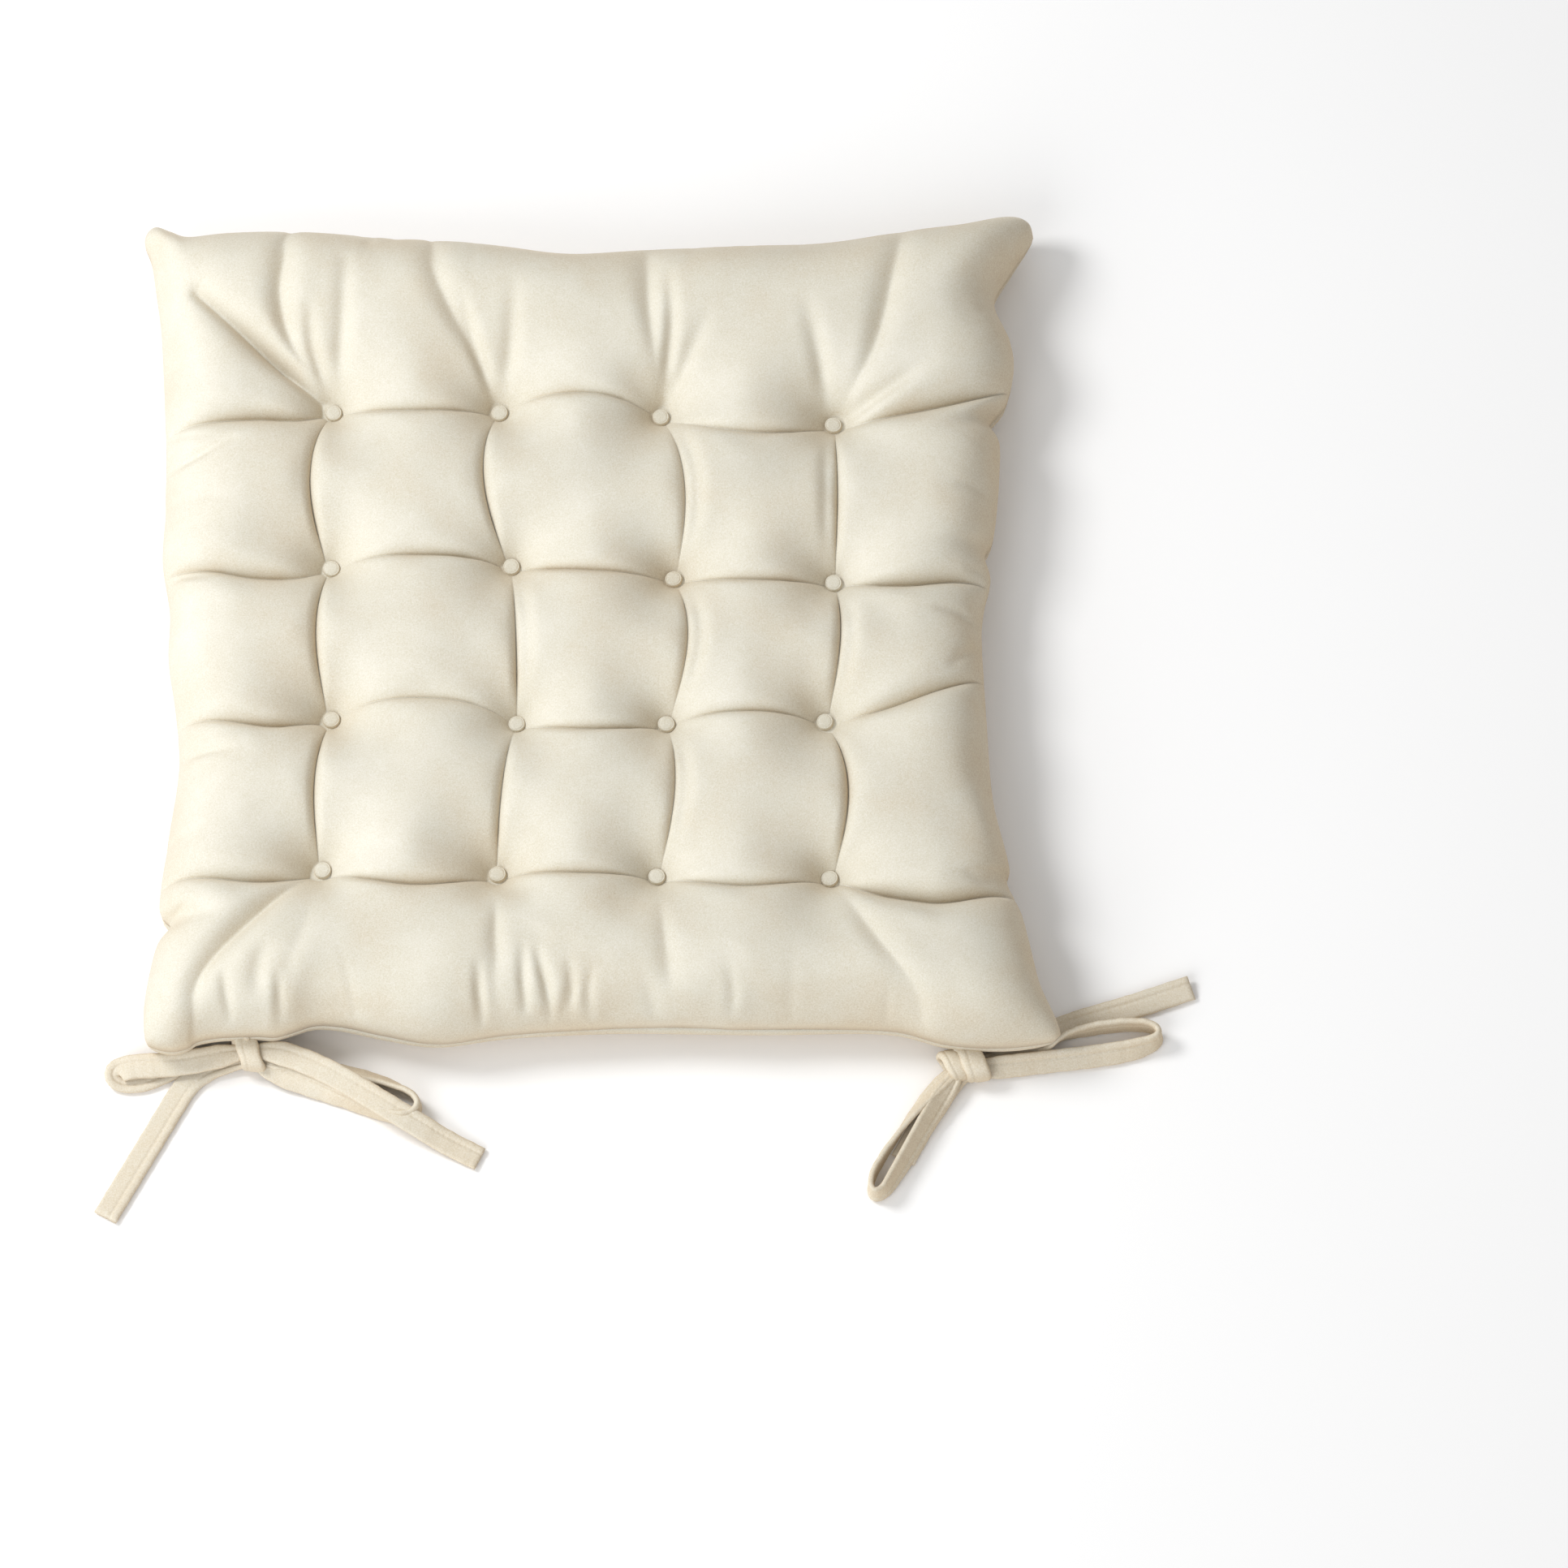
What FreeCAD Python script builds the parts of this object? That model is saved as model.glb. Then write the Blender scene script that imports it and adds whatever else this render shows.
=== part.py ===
import FreeCAD, Part
import math
import os

from FreeCAD import Vector

# Button-tufted square chair seat pad with four velvet tie straps knotted in two bows.
# Millimetres. Origin: centre of the flat underside. +Z up, -Y towards the edge with the ties.

# ---- driving dimensions of the pad ----
WIDTH = 400.0                 # corner to corner along X
DEPTH = 394.0                 # corner to corner along Y
THICKNESS = 60.0              # crown of the pad between the buttons
SEAM_HEIGHT = 17.0            # the edge seam sits low, because the top panel takes up the filling
COVER = 1.2                   # velvet with its backing
SEAM_ALLOWANCE = 10.0         # turned-in margin of both panels along the edge
SIDE_PULL_IN = {"front": 4.0, "right": 22.0, "back": 12.0, "left": 8.0}
# (height, distance in from the edge) from the flat underside over the seam to the crown
SIDE_PROFILE = [(0.0, 20.0), (4.0, 8.0), (10.0, 1.5), (SEAM_HEIGHT, 0.0),
                (30.0, 5.0), (44.0, 18.0), (54.0, 40.0), (THICKNESS, 72.0)]

# ---- tufting ----
GRID_COUNT = 4
PITCH = 75.0
GRID_OFFSET = (-8.0, -9.0)    # the grid sits a little towards the front left corner
# how far each button of the hand-tufted grid strays from its place, row by row from the back
BUTTON_DRIFT = [
    [(0.5, 1.5), (0.5, 1.5), (-1.5, -0.5), (1.5, -4.5)],
    [(0.5, -0.5), (6.5, 0.5), (4.5, -5.5), (1.5, -7.5)],
    [(1.5, 0.5), (9.5, -1.5), (1.5, -1.5), (-2.5, -0.5)],
    [(-1.5, 2.5), (1.5, 0.5), (-2.5, -0.5), (-0.5, -1.5)],
]
BUTTON_SEAT = 28.0            # height that the tufting thread pulls each button down to
DIMPLE_MOUTH_RADIUS = 31.0
DIMPLE_SEAT_RADIUS = 5.6
UNDER_DIMPLE_DEPTH = 7.0
UNDER_DIMPLE_MOUTH_RADIUS = 11.0
UNDER_DIMPLE_SEAT_RADIUS = 4.0

# ---- covered button ----
CAP_RADIUS = 4.75             # 9.5 mm covered button
CAP_HEIGHT = 3.4
CAP_THICKNESS = 0.5
SHELL_THICKNESS = 0.4
BACK_PLATE_RADIUS = 3.35
BACK_PLATE_THICKNESS = 0.6
LOOP_RADIUS = 1.4
LOOP_WIRE_RADIUS = 0.4
SHANK_HOLE_RADIUS = 2.2
THREAD_RADIUS = 0.5
THREAD_HOLE_RADIUS = 0.8
KNOT_RADIUS = 1.8

# ---- edge seam thread ----
SEAM_THREAD_INSET = 5.0
SEAM_THREAD_SIZE = 0.7

# ---- tie straps ----
STRAP_WIDTH = 11.0
STRAP_THICKNESS = 2.2
SEWN_END_INSIDE = 12.0        # length of strap held inside the seam
SEWN_END_OUTSIDE = 4.5
BAR_TACK_SIZE = (8.0, 1.2, 0.5)
BAR_TACK_INSIDE = 7.0
BOW_KNOT_RADIUS = 6.5
BOW_KNOT_HEIGHT = 11.2
BOW_KNOT_ROUNDING = 2.5
ARC_SHARE = 0.45              # part of the shorter run that each bend of a strap takes

# Each bow: where its knot stands, where its straps leave the seam, and the routes of the loop and
# tail of strap a and strap b. Every route starts or ends inside the knot.
BOWS = {
    "tie_left": {
        "knot": (-156.0, -202.5),
        "seam_x": -156.0,
        "a_loop": [(-152.0, -203.5, 2.4), (-130.5, -208.4, 1.5), (-111.0, -212.8, 1.3),
                   (-98.3, -215.6, 1.4), (-90.5, -217.4, 1.3), (-85.1, -218.6, 1.3),
                   (-81.7, -219.4, 4.0), (-85.1, -218.6, 6.7), (-90.5, -217.4, 7.2),
                   (-98.3, -215.6, 7.5), (-111.0, -212.8, 7.4), (-130.5, -208.4, 7.0),
                   (-152.0, -203.5, 6.6)],
        "a_tail": [(-158.0, -204.5, 1.3), (-168.0, -204.5, 1.3), (-178.0, -207.5, 1.3),
                   (-186.0, -219.0, 1.3), (-199.0, -241.0, 1.3), (-217.2, -274.2, 1.3)],
        "b_loop": [(-160.0, -203.0, 4.2), (-178.0, -204.4, 4.6), (-194.0, -205.6, 3.2),
                   (-205.0, -206.4, 1.8), (-212.0, -207.0, 1.4), (-215.2, -207.2, 4.3),
                   (-212.0, -207.0, 7.2), (-205.0, -206.4, 8.4), (-194.0, -205.6, 9.3),
                   (-178.0, -204.4, 9.5), (-160.0, -203.0, 9.0)],
        "b_tail": [(-152.0, -201.0, 9.6), (-131.0, -205.0, 10.0), (-107.0, -214.0, 9.9),
                   (-84.0, -227.0, 9.2), (-67.0, -237.0, 5.0), (-51.4, -245.8, 1.4)],
    },
    "tie_right": {
        "knot": (165.0, -202.5),
        "seam_x": 163.0,
        "a_loop": [(169.0, -204.5, 4.2), (193.0, -203.2, 4.4), (214.9, -202.0, 3.2),
                   (228.9, -201.2, 2.0), (237.9, -200.7, 1.4), (243.9, -200.4, 1.3),
                   (247.9, -200.2, 4.1), (243.9, -200.4, 6.9), (237.9, -200.7, 7.8),
                   (228.9, -201.2, 8.4), (214.9, -202.0, 9.0), (193.0, -203.2, 9.4),
                   (169.0, -204.5, 9.0)],
        "a_tail": [(163.0, -204.0, 1.3), (157.0, -213.0, 1.3), (148.0, -226.0, 1.3),
                   (141.0, -236.5, 1.3), (136.5, -246.5, 1.3)],
        "b_loop": [(163.0, -205.5, 4.4), (152.5, -222.5, 4.0), (143.6, -237.0, 3.8),
                   (137.3, -247.2, 3.8), (133.1, -254.0, 2.6), (130.2, -258.7, 1.4),
                   (128.4, -261.7, 3.9), (130.2, -258.7, 6.5), (133.1, -254.0, 7.9),
                   (137.3, -247.2, 8.9), (143.6, -237.0, 9.3), (152.5, -222.5, 9.3),
                   (163.0, -205.5, 9.0)],
        "b_tail": [(169.0, -202.0, 1.3), (182.0, -198.5, 1.3), (194.0, -191.0, 1.3),
                   (207.0, -183.5, 1.3), (232.0, -174.0, 1.3), (265.0, -164.7, 1.3)],
    },
}

UP = Vector(0, 0, 1)
FAR = 1000.0                  # half size of the blocks that split the cover at the seam


def save(shape, node):
    """Write one node's solids to its own file."""
    shape.exportStep(os.path.join("parts", node + ".step"))


def side_arc(start, end, pull_in):
    """One edge of the pad: an arc from corner to corner, bowed towards the middle of the pad."""
    middle = (start + end) * 0.5
    towards_centre = Vector(-middle.x, -middle.y, 0).normalize()
    return Part.Arc(start, middle + towards_centre * pull_in, end).toShape()


def outline(height, inset):
    """Closed outline of the pad at a height, moved in from the edge."""
    half_x = WIDTH / 2 - inset
    half_y = DEPTH / 2 - inset
    front_left = Vector(-half_x, -half_y, height)
    front_right = Vector(half_x, -half_y, height)
    back_right = Vector(half_x, half_y, height)
    back_left = Vector(-half_x, half_y, height)
    return Part.Wire([
        side_arc(front_left, front_right, SIDE_PULL_IN["front"]),
        side_arc(front_right, back_right, SIDE_PULL_IN["right"]),
        side_arc(back_right, back_left, SIDE_PULL_IN["back"]),
        side_arc(back_left, front_left, SIDE_PULL_IN["left"]),
    ])


def slab(low, high, inset):
    """Upright block with the pad's outline."""
    return Part.Face(outline(low, inset)).extrude(Vector(0, 0, high - low))


def button_places():
    """Name and place of every button: row 1 is at the back, column 1 at the left."""
    places = {}
    middle = (GRID_COUNT - 1) / 2
    for row in range(GRID_COUNT):
        for column in range(GRID_COUNT):
            drift_x, drift_y = BUTTON_DRIFT[row][column]
            x = GRID_OFFSET[0] + (column - middle) * PITCH + drift_x
            y = GRID_OFFSET[1] + (middle - row) * PITCH + drift_y
            places["r%dc%d" % (row + 1, column + 1)] = (x, y)
    return places


def frustum(x, y, low, high, low_radius, high_radius):
    return Part.makeCone(low_radius, high_radius, high - low, Vector(x, y, low), UP)


def padded_body(places, shrink):
    """The tufted pad as one solid, its whole surface moved inwards by shrink."""
    levels = []
    for height, inset in SIDE_PROFILE:
        share = (height - SEAM_HEIGHT) / (THICKNESS - SEAM_HEIGHT)
        if height < SEAM_HEIGHT:
            share = (height - SEAM_HEIGHT) / SEAM_HEIGHT
        levels.append(outline(height - shrink * share, inset + shrink * (1 - abs(share))))
    body = Part.makeLoft(levels, True, True)
    dimples = []
    for x, y in places.values():
        dimples.append(frustum(x, y, BUTTON_SEAT - shrink, THICKNESS + 1,
                               DIMPLE_SEAT_RADIUS + shrink, DIMPLE_MOUTH_RADIUS + shrink))
        dimples.append(frustum(x, y, -1, UNDER_DIMPLE_DEPTH + shrink,
                               UNDER_DIMPLE_MOUTH_RADIUS + shrink,
                               UNDER_DIMPLE_SEAT_RADIUS + shrink))
    return body.cut(dimples)


def dome(x, y, base_height, base_radius, height):
    """Low dome on a flat base."""
    sphere_radius = (base_radius ** 2 + height ** 2) / (2 * height)
    centre = Vector(x, y, base_height + height - sphere_radius)
    keep = Part.makeCylinder(sphere_radius, sphere_radius, Vector(x, y, base_height), UP)
    return Part.makeSphere(sphere_radius, centre).common(keep)


def make_cover_and_filling(places, cutters):
    """Both cover panels with their seam allowance, and the filling that they hold."""
    allowance = slab(SEAM_HEIGHT - COVER, SEAM_HEIGHT + COVER, 0)
    allowance = allowance.cut(slab(SEAM_HEIGHT - 2 * COVER, SEAM_HEIGHT + 2 * COVER,
                                   SEAM_ALLOWANCE))
    outer = padded_body(places, 0.0)
    space = padded_body(places, COVER).cut(allowance)
    cover = outer.cut(space)
    shank_holes = []
    thread_holes = []
    for x, y in places.values():
        shank_holes.append(Part.makeCylinder(SHANK_HOLE_RADIUS, THICKNESS,
                                             Vector(x, y, SEAM_HEIGHT), UP))
        thread_holes.append(Part.makeCylinder(THREAD_HOLE_RADIUS, SEAM_HEIGHT,
                                              Vector(x, y, 0), UP))
    cover = cover.cut(shank_holes + thread_holes + cutters)
    filling = space.cut([Part.makeCylinder(SHANK_HOLE_RADIUS, THICKNESS, Vector(x, y, 0), UP)
                         for x, y in places.values()] + cutters)
    above = Part.makeBox(2 * FAR, 2 * FAR, FAR, Vector(-FAR, -FAR, SEAM_HEIGHT))
    below = Part.makeBox(2 * FAR, 2 * FAR, FAR, Vector(-FAR, -FAR, SEAM_HEIGHT - FAR))
    return cover.common(above), cover.common(below), filling


def make_seam_thread():
    low = SEAM_HEIGHT - SEAM_THREAD_SIZE / 2
    high = SEAM_HEIGHT + SEAM_THREAD_SIZE / 2
    ring = slab(low, high, SEAM_THREAD_INSET)
    return ring.cut(slab(low - 1, high + 1, SEAM_THREAD_INSET + SEAM_THREAD_SIZE))


def make_button_cap(x, y):
    outside = dome(x, y, BUTTON_SEAT, CAP_RADIUS, CAP_HEIGHT)
    return outside.cut(dome(x, y, BUTTON_SEAT, CAP_RADIUS - CAP_THICKNESS,
                            CAP_HEIGHT - CAP_THICKNESS))


def make_button_shell(x, y):
    outside = dome(x, y, BUTTON_SEAT, CAP_RADIUS - CAP_THICKNESS, CAP_HEIGHT - CAP_THICKNESS)
    inner_gap = CAP_THICKNESS + SHELL_THICKNESS
    return outside.cut(dome(x, y, BUTTON_SEAT, CAP_RADIUS - inner_gap, CAP_HEIGHT - inner_gap))


def make_back_plate(x, y):
    return Part.makeCylinder(BACK_PLATE_RADIUS, BACK_PLATE_THICKNESS,
                             Vector(x, y, BUTTON_SEAT), UP)


def make_wire_loop(x, y):
    """Half ring of wire under the back plate."""
    ring = Part.makeTorus(LOOP_RADIUS, LOOP_WIRE_RADIUS, Vector(x, y, BUTTON_SEAT),
                          Vector(0, 1, 0))
    reach = LOOP_RADIUS + LOOP_WIRE_RADIUS + 1
    below = Part.makeBox(2 * reach, 2 * reach, reach,
                         Vector(x - reach, y - reach, BUTTON_SEAT - reach))
    return ring.common(below)


def make_tuft_thread(x, y):
    """Thread from the wire loop down to the knot."""
    top = BUTTON_SEAT - LOOP_RADIUS - LOOP_WIRE_RADIUS
    return Part.makeCylinder(THREAD_RADIUS, top - UNDER_DIMPLE_DEPTH,
                             Vector(x, y, UNDER_DIMPLE_DEPTH), UP)


def make_tuft_knot(x, y):
    return Part.makeSphere(KNOT_RADIUS, Vector(x, y, UNDER_DIMPLE_DEPTH - KNOT_RADIUS))


def smooth_path(points):
    """Straight runs joined by arcs that are tangent to them."""
    path_edges = []
    last = points[0]
    for before, corner, after in zip(points, points[1:], points[2:]):
        run_in = corner - before
        run_out = after - corner
        reach = ARC_SHARE * min(run_in.Length, run_out.Length)
        direction_in = Vector(run_in).normalize()
        direction_out = Vector(run_out).normalize()
        half_turn = direction_in.getAngle(direction_out) / 2
        radius = reach / math.tan(half_turn)
        inward = (direction_out - direction_in).normalize()
        arc_start = corner - direction_in * reach
        arc_middle = corner + inward * (radius / math.cos(half_turn) - radius)
        arc_end = corner + direction_out * reach
        path_edges.append(Part.LineSegment(last, arc_start).toShape())
        path_edges.append(Part.Arc(arc_start, arc_middle, arc_end).toShape())
        last = arc_end
    path_edges.append(Part.LineSegment(last, points[-1]).toShape())
    return Part.Wire(path_edges)


def strap(points, width_direction=None):
    """Flat strap swept along a route; its width lies level, or along width_direction."""
    points = [Vector(*point) for point in points]
    path = smooth_path(points)
    tangent = (points[1] - points[0]).normalize()
    across = width_direction or UP.cross(tangent).normalize()
    upward = tangent.cross(across).normalize()
    half_width = across * (STRAP_WIDTH / 2)
    half_thickness = upward * (STRAP_THICKNESS / 2)
    corners = [points[0] + half_width + half_thickness, points[0] - half_width + half_thickness,
               points[0] - half_width - half_thickness, points[0] + half_width - half_thickness]
    section = Part.makePolygon(corners + corners[:1])
    sweep = Part.BRepOffsetAPI.MakePipeShell(path)
    sweep.setBiNormalMode(width_direction or UP)
    sweep.setTransitionMode(0)
    sweep.add(section)
    sweep.build()
    sweep.makeSolid()
    solid = sweep.shape()
    expected = path.Length * STRAP_WIDTH * STRAP_THICKNESS
    print("strap length %.1f, volume / expected %.3f" % (path.Length, solid.Volume / expected))
    return solid


def loop_strap(points):
    """A loop stands on edge: its width is level and square to the line from knot to tip."""
    start = Vector(*points[0])
    tip = Vector(*points[len(points) // 2])
    along = Vector(tip.x - start.x, tip.y - start.y, 0).normalize()
    return strap(points, UP.cross(along))


def bow_knot(x, y):
    body = Part.makeCylinder(BOW_KNOT_RADIUS, BOW_KNOT_HEIGHT, Vector(x, y, 0), UP)
    rims = [edge for edge in body.Edges if edge.BoundBox.ZLength < 1e-6]
    return body.makeFillet(BOW_KNOT_ROUNDING, rims)


def front_edge_y(x):
    """Where the front edge of the pad runs at x."""
    return -DEPTH / 2 + SIDE_PULL_IN["front"] * (1 - (2 * x / WIDTH) ** 2)


def sewn_end(x, layer):
    """Flat end of a strap held in the seam; layer 0 lies on the seam plane, layer -1 under it."""
    edge = front_edge_y(x)
    return Part.makeBox(STRAP_WIDTH, SEWN_END_INSIDE + SEWN_END_OUTSIDE, STRAP_THICKNESS,
                        Vector(x - STRAP_WIDTH / 2, edge - SEWN_END_OUTSIDE,
                               SEAM_HEIGHT + layer * STRAP_THICKNESS))


def bar_tacks(x):
    """Dense stitching over and under the pair of strap ends."""
    size_x, size_y, size_z = BAR_TACK_SIZE
    y = front_edge_y(x) + BAR_TACK_INSIDE
    heights = (SEAM_HEIGHT + STRAP_THICKNESS, SEAM_HEIGHT - STRAP_THICKNESS - size_z)
    return [Part.makeBox(size_x, size_y, size_z, Vector(x - size_x / 2, y, height))
            for height in heights]


def make_ties(seam_thread):
    """All nodes of both bows, and the solids that take up room inside the seam."""
    nodes = {}
    inside_seam = []
    tacks = []
    for tie, bow in BOWS.items():
        knot = bow_knot(*bow["knot"])
        nodes[tie + "_knot"] = knot
        for strap_name in ("a", "b"):
            loop = loop_strap(bow[strap_name + "_loop"]).cut(knot)
            tail = strap(bow[strap_name + "_tail"]).cut(knot)
            nodes["%s_%s_loop" % (tie, strap_name)] = loop
            nodes["%s_%s_tail" % (tie, strap_name)] = tail
        for strap_name, layer in (("a", 0), ("b", -1)):
            end = sewn_end(bow["seam_x"], layer).cut(seam_thread)
            nodes["%s_%s_sewn_end" % (tie, strap_name)] = end
            inside_seam.append(end)
        tacks += bar_tacks(bow["seam_x"])
    nodes["tie_bar_tacks"] = Part.makeCompound(tacks)
    return nodes, inside_seam + tacks


def main():
    os.makedirs("parts", exist_ok=True)
    places = button_places()
    seam_thread = make_seam_thread()
    nodes, inside_seam = make_ties(seam_thread)
    top, bottom, filling = make_cover_and_filling(places, inside_seam + [seam_thread])
    nodes["top_cover"] = top
    nodes["bottom_cover"] = bottom
    nodes["filling"] = filling
    nodes["seam_thread"] = seam_thread

    for name, (x, y) in places.items():
        nodes["button_" + name] = make_button_cap(x, y)
    hidden_groups = {
        "button_shells": make_button_shell,
        "button_back_plates": make_back_plate,
        "button_wire_loops": make_wire_loop,
        "tuft_threads": make_tuft_thread,
        "tuft_knots": make_tuft_knot,
    }
    for node, make in hidden_groups.items():
        nodes[node] = Part.makeCompound([make(x, y) for x, y in places.values()])

    for node, shape in nodes.items():
        save(shape, node)
        box = shape.BoundBox
        print("%-24s solids %2d valid %s x %.1f..%.1f y %.1f..%.1f z %.1f..%.1f" % (
            node, len(shape.Solids), shape.isValid(),
            box.XMin, box.XMax, box.YMin, box.YMax, box.ZMin, box.ZMax))


main()
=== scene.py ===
import math

import bpy
import numpy as np
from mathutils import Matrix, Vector


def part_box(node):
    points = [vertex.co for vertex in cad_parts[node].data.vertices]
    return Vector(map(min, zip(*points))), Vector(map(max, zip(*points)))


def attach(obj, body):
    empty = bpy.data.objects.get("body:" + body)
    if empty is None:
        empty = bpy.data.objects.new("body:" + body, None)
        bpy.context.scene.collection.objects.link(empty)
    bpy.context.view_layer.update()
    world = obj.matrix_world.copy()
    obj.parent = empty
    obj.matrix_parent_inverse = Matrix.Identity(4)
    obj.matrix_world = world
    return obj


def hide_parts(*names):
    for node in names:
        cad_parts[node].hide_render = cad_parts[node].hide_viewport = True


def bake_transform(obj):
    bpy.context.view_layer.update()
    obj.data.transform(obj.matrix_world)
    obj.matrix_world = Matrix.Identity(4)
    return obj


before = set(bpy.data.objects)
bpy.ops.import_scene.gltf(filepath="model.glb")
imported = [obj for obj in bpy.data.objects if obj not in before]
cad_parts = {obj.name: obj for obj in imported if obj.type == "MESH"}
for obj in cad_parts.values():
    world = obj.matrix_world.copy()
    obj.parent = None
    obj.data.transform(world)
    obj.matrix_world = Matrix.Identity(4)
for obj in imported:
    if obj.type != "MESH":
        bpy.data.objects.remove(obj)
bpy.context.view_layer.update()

# Button-tufted velvet seat pad. Metres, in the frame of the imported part: origin at the centre of
# the flat underside, +Z up, -Y towards the edge with the ties.

# ---- heights of the pad, from the frame ----
SEAM_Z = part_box("top_cover")[0].z
BUTTON_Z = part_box("button_r1c1")[0].z
KNOT_TOP_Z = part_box("tuft_knots")[1].z
CROWN_Z = 0.0510

# ---- outline of the seam, corner to corner ----
FRONT_EDGE = [(-0.2000, -0.1935), (-0.1985, -0.1978), (-0.1930, -0.2002), (-0.1865, -0.2008),
              (-0.1805, -0.1990), (-0.1765, -0.1962), (-0.1655, -0.1942), (-0.1500, -0.1938),
              (-0.1420, -0.1940), (-0.1340, -0.1917), (-0.1240, -0.1887), (-0.1110, -0.1897),
              (-0.0930, -0.1937), (-0.069, -0.1970),
              (-0.035, -0.1925), (0.020, -0.1895), (0.075, -0.1905), (0.129, -0.1910),
              (0.156, -0.1975), (0.180, -0.1990), (0.2010, -0.1965), (0.2065, -0.1925)]
RIGHT_EDGE = [(0.2065, -0.1925), (0.2040, -0.186), (0.1965, -0.168), (0.1890, -0.137),
              (0.1825, -0.1215), (0.1835, -0.114), (0.1770, -0.081), (0.1740, -0.045),
              (0.1720, -0.006),
              (0.1734, 0.012), (0.1762, 0.0255), (0.1736, 0.0370), (0.1775, 0.046), (0.1800, 0.070),
              (0.1805, 0.092), (0.1760, 0.1020), (0.1835, 0.113), (0.1870, 0.128),
              (0.1855, 0.143), (0.1785, 0.1620), (0.1865, 0.179), (0.1950, 0.1930),
              (0.1970, 0.1985)]
BACK_EDGE = [(0.1970, 0.1985), (0.1935, 0.2035), (0.1850, 0.2050), (0.165, 0.2010), (0.140, 0.1975),
             (0.096, 0.1920), (0.042, 0.1885), (-0.005, 0.1865), (-0.040, 0.1895),
             (-0.078, 0.1930), (-0.110, 0.1950), (-0.142, 0.1965), (-0.168, 0.1960),
             (-0.186, 0.1945), (-0.1940, 0.1975), (-0.2010, 0.2010), (-0.2065, 0.1990)]
LEFT_EDGE = [(-0.2065, 0.1990), (-0.2070, 0.1930), (-0.2040, 0.184), (-0.2015, 0.168),
             (-0.1985, 0.145), (-0.1965, 0.118), (-0.1950, 0.088),
             (-0.1950, 0.060), (-0.1955, 0.033), (-0.1920, 0.008), (-0.1920, -0.015),
             (-0.1885, -0.040), (-0.1865, -0.068), (-0.1910, -0.105), (-0.1940, -0.134),
             (-0.1890, -0.1430), (-0.1950, -0.153), (-0.1995, -0.178), (-0.2000, -0.1935)]

# ---- folds from the outer buttons to the seam: bends on the way, then the point on the seam ----
BACK_RUNS = [
    [(-0.138, 0.132), (-0.144, 0.155), (-0.143, 0.175), (-0.142, 0.1965)],
    [(-0.060, 0.135), (-0.074, 0.165), (-0.078, 0.1930)],
    [(0.0235, 0.140), (0.0220, 0.169), (0.022, 0.1875)],
    [(0.124, 0.130), (0.134, 0.172), (0.137, 0.1970)],
]
FRONT_RUNS = [
    [(-0.128, -0.150), (-0.138, -0.180), (-0.139, -0.1925)],
    [(-0.0445, -0.145), (-0.044, -0.180), (-0.044, -0.1930)],
    [(0.029, -0.140), (0.034, -0.183), (0.036, -0.1900)],
    [(0.116, -0.145), (0.141, -0.182), (0.146, -0.1950)],
]
LEFT_RUNS = [
    [(-0.135, 0.098), (-0.155, 0.097), (-0.177, 0.095), (-0.193, 0.093)],
    [(-0.135, 0.020), (-0.155, 0.019), (-0.175, 0.022), (-0.193, 0.024)],
    [(-0.135, -0.052), (-0.150, -0.054), (-0.174, -0.051), (-0.187, -0.050)],
    [(-0.135, -0.126), (-0.155, -0.129), (-0.180, -0.127), (-0.192, -0.127)],
]
RIGHT_RUNS = [
    [(0.118, 0.097), (0.150, 0.103), (0.172, 0.110), (0.1845, 0.1165)],
    [(0.122, 0.0165), (0.140, 0.0155), (0.160, 0.0185), (0.1748, 0.0200)],
    [(0.118, -0.047), (0.135, -0.043), (0.160, -0.033), (0.1735, -0.0260)],
    [(0.120, -0.132), (0.140, -0.137), (0.158, -0.138), (0.1865, -0.1300)],
]

# Sideways bow of the folds between neighbouring buttons, from the first button of each row or
# column on. Columns run back to front and bow to the right, rows run left to right and bow to
# the back, where positive.
COLUMN_BOWS = [[-0.0098, -0.0067, -0.0054], [-0.0096, 0.0010, -0.0022],
               [0.0080, 0.0080, 0.0060], [0.0018, 0.0049, 0.0094]]
ROW_BOWS = [[-0.0045, 0.0050, -0.0118], [0.0008, -0.0047, -0.0050],
            [0.0060, -0.0073, 0.0003], [-0.0110, -0.0040, -0.0090]]

SQUARES_PER_PATCH = 76        # mesh squares along each side of each of the 25 pillows
CROWDING = 0.62               # how far mesh lines crowd towards the folds, 0 to 1
SEED = 11


def spaced(count):
    """Parameters from 0 to 1 that crowd towards both ends."""
    even = np.linspace(-1, 1, count + 1)
    crowded = (1 - CROWDING) * even + CROWDING * np.sin(even * math.pi / 2)
    return (crowded + 1) / 2


def smooth_line(points, count_per_span=16):
    """Catmull-Rom line through given points."""
    points = np.array(points, float)
    padded = np.vstack([2 * points[0] - points[1], points, 2 * points[-1] - points[-2]])
    share = np.linspace(0, 1, count_per_span, endpoint=False)[:, None]
    spans = []
    for p0, p1, p2, p3 in zip(padded, padded[1:], padded[2:], padded[3:]):
        spans.append(0.5 * (2 * p1 + (p2 - p0) * share
                            + (2 * p0 - 5 * p1 + 4 * p2 - p3) * share ** 2
                            + (3 * p1 - p0 - 3 * p2 + p3) * share ** 3))
    return np.vstack(spans + [points[-1:]])


def along(line, shares):
    """Points of a line at shares of its length."""
    steps = np.linalg.norm(np.diff(line, axis=0), axis=1)
    travelled = np.concatenate([[0], np.cumsum(steps)])
    travelled /= travelled[-1]
    return np.stack([np.interp(shares, travelled, line[:, axis])
                     for axis in range(line.shape[1])], axis=1)


# ---- the tufting grid ----
def button_centre(row, column):
    low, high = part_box("button_r%dc%d" % (row, column))
    return np.array([(low.x + high.x) / 2, (low.y + high.y) / 2])


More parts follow.
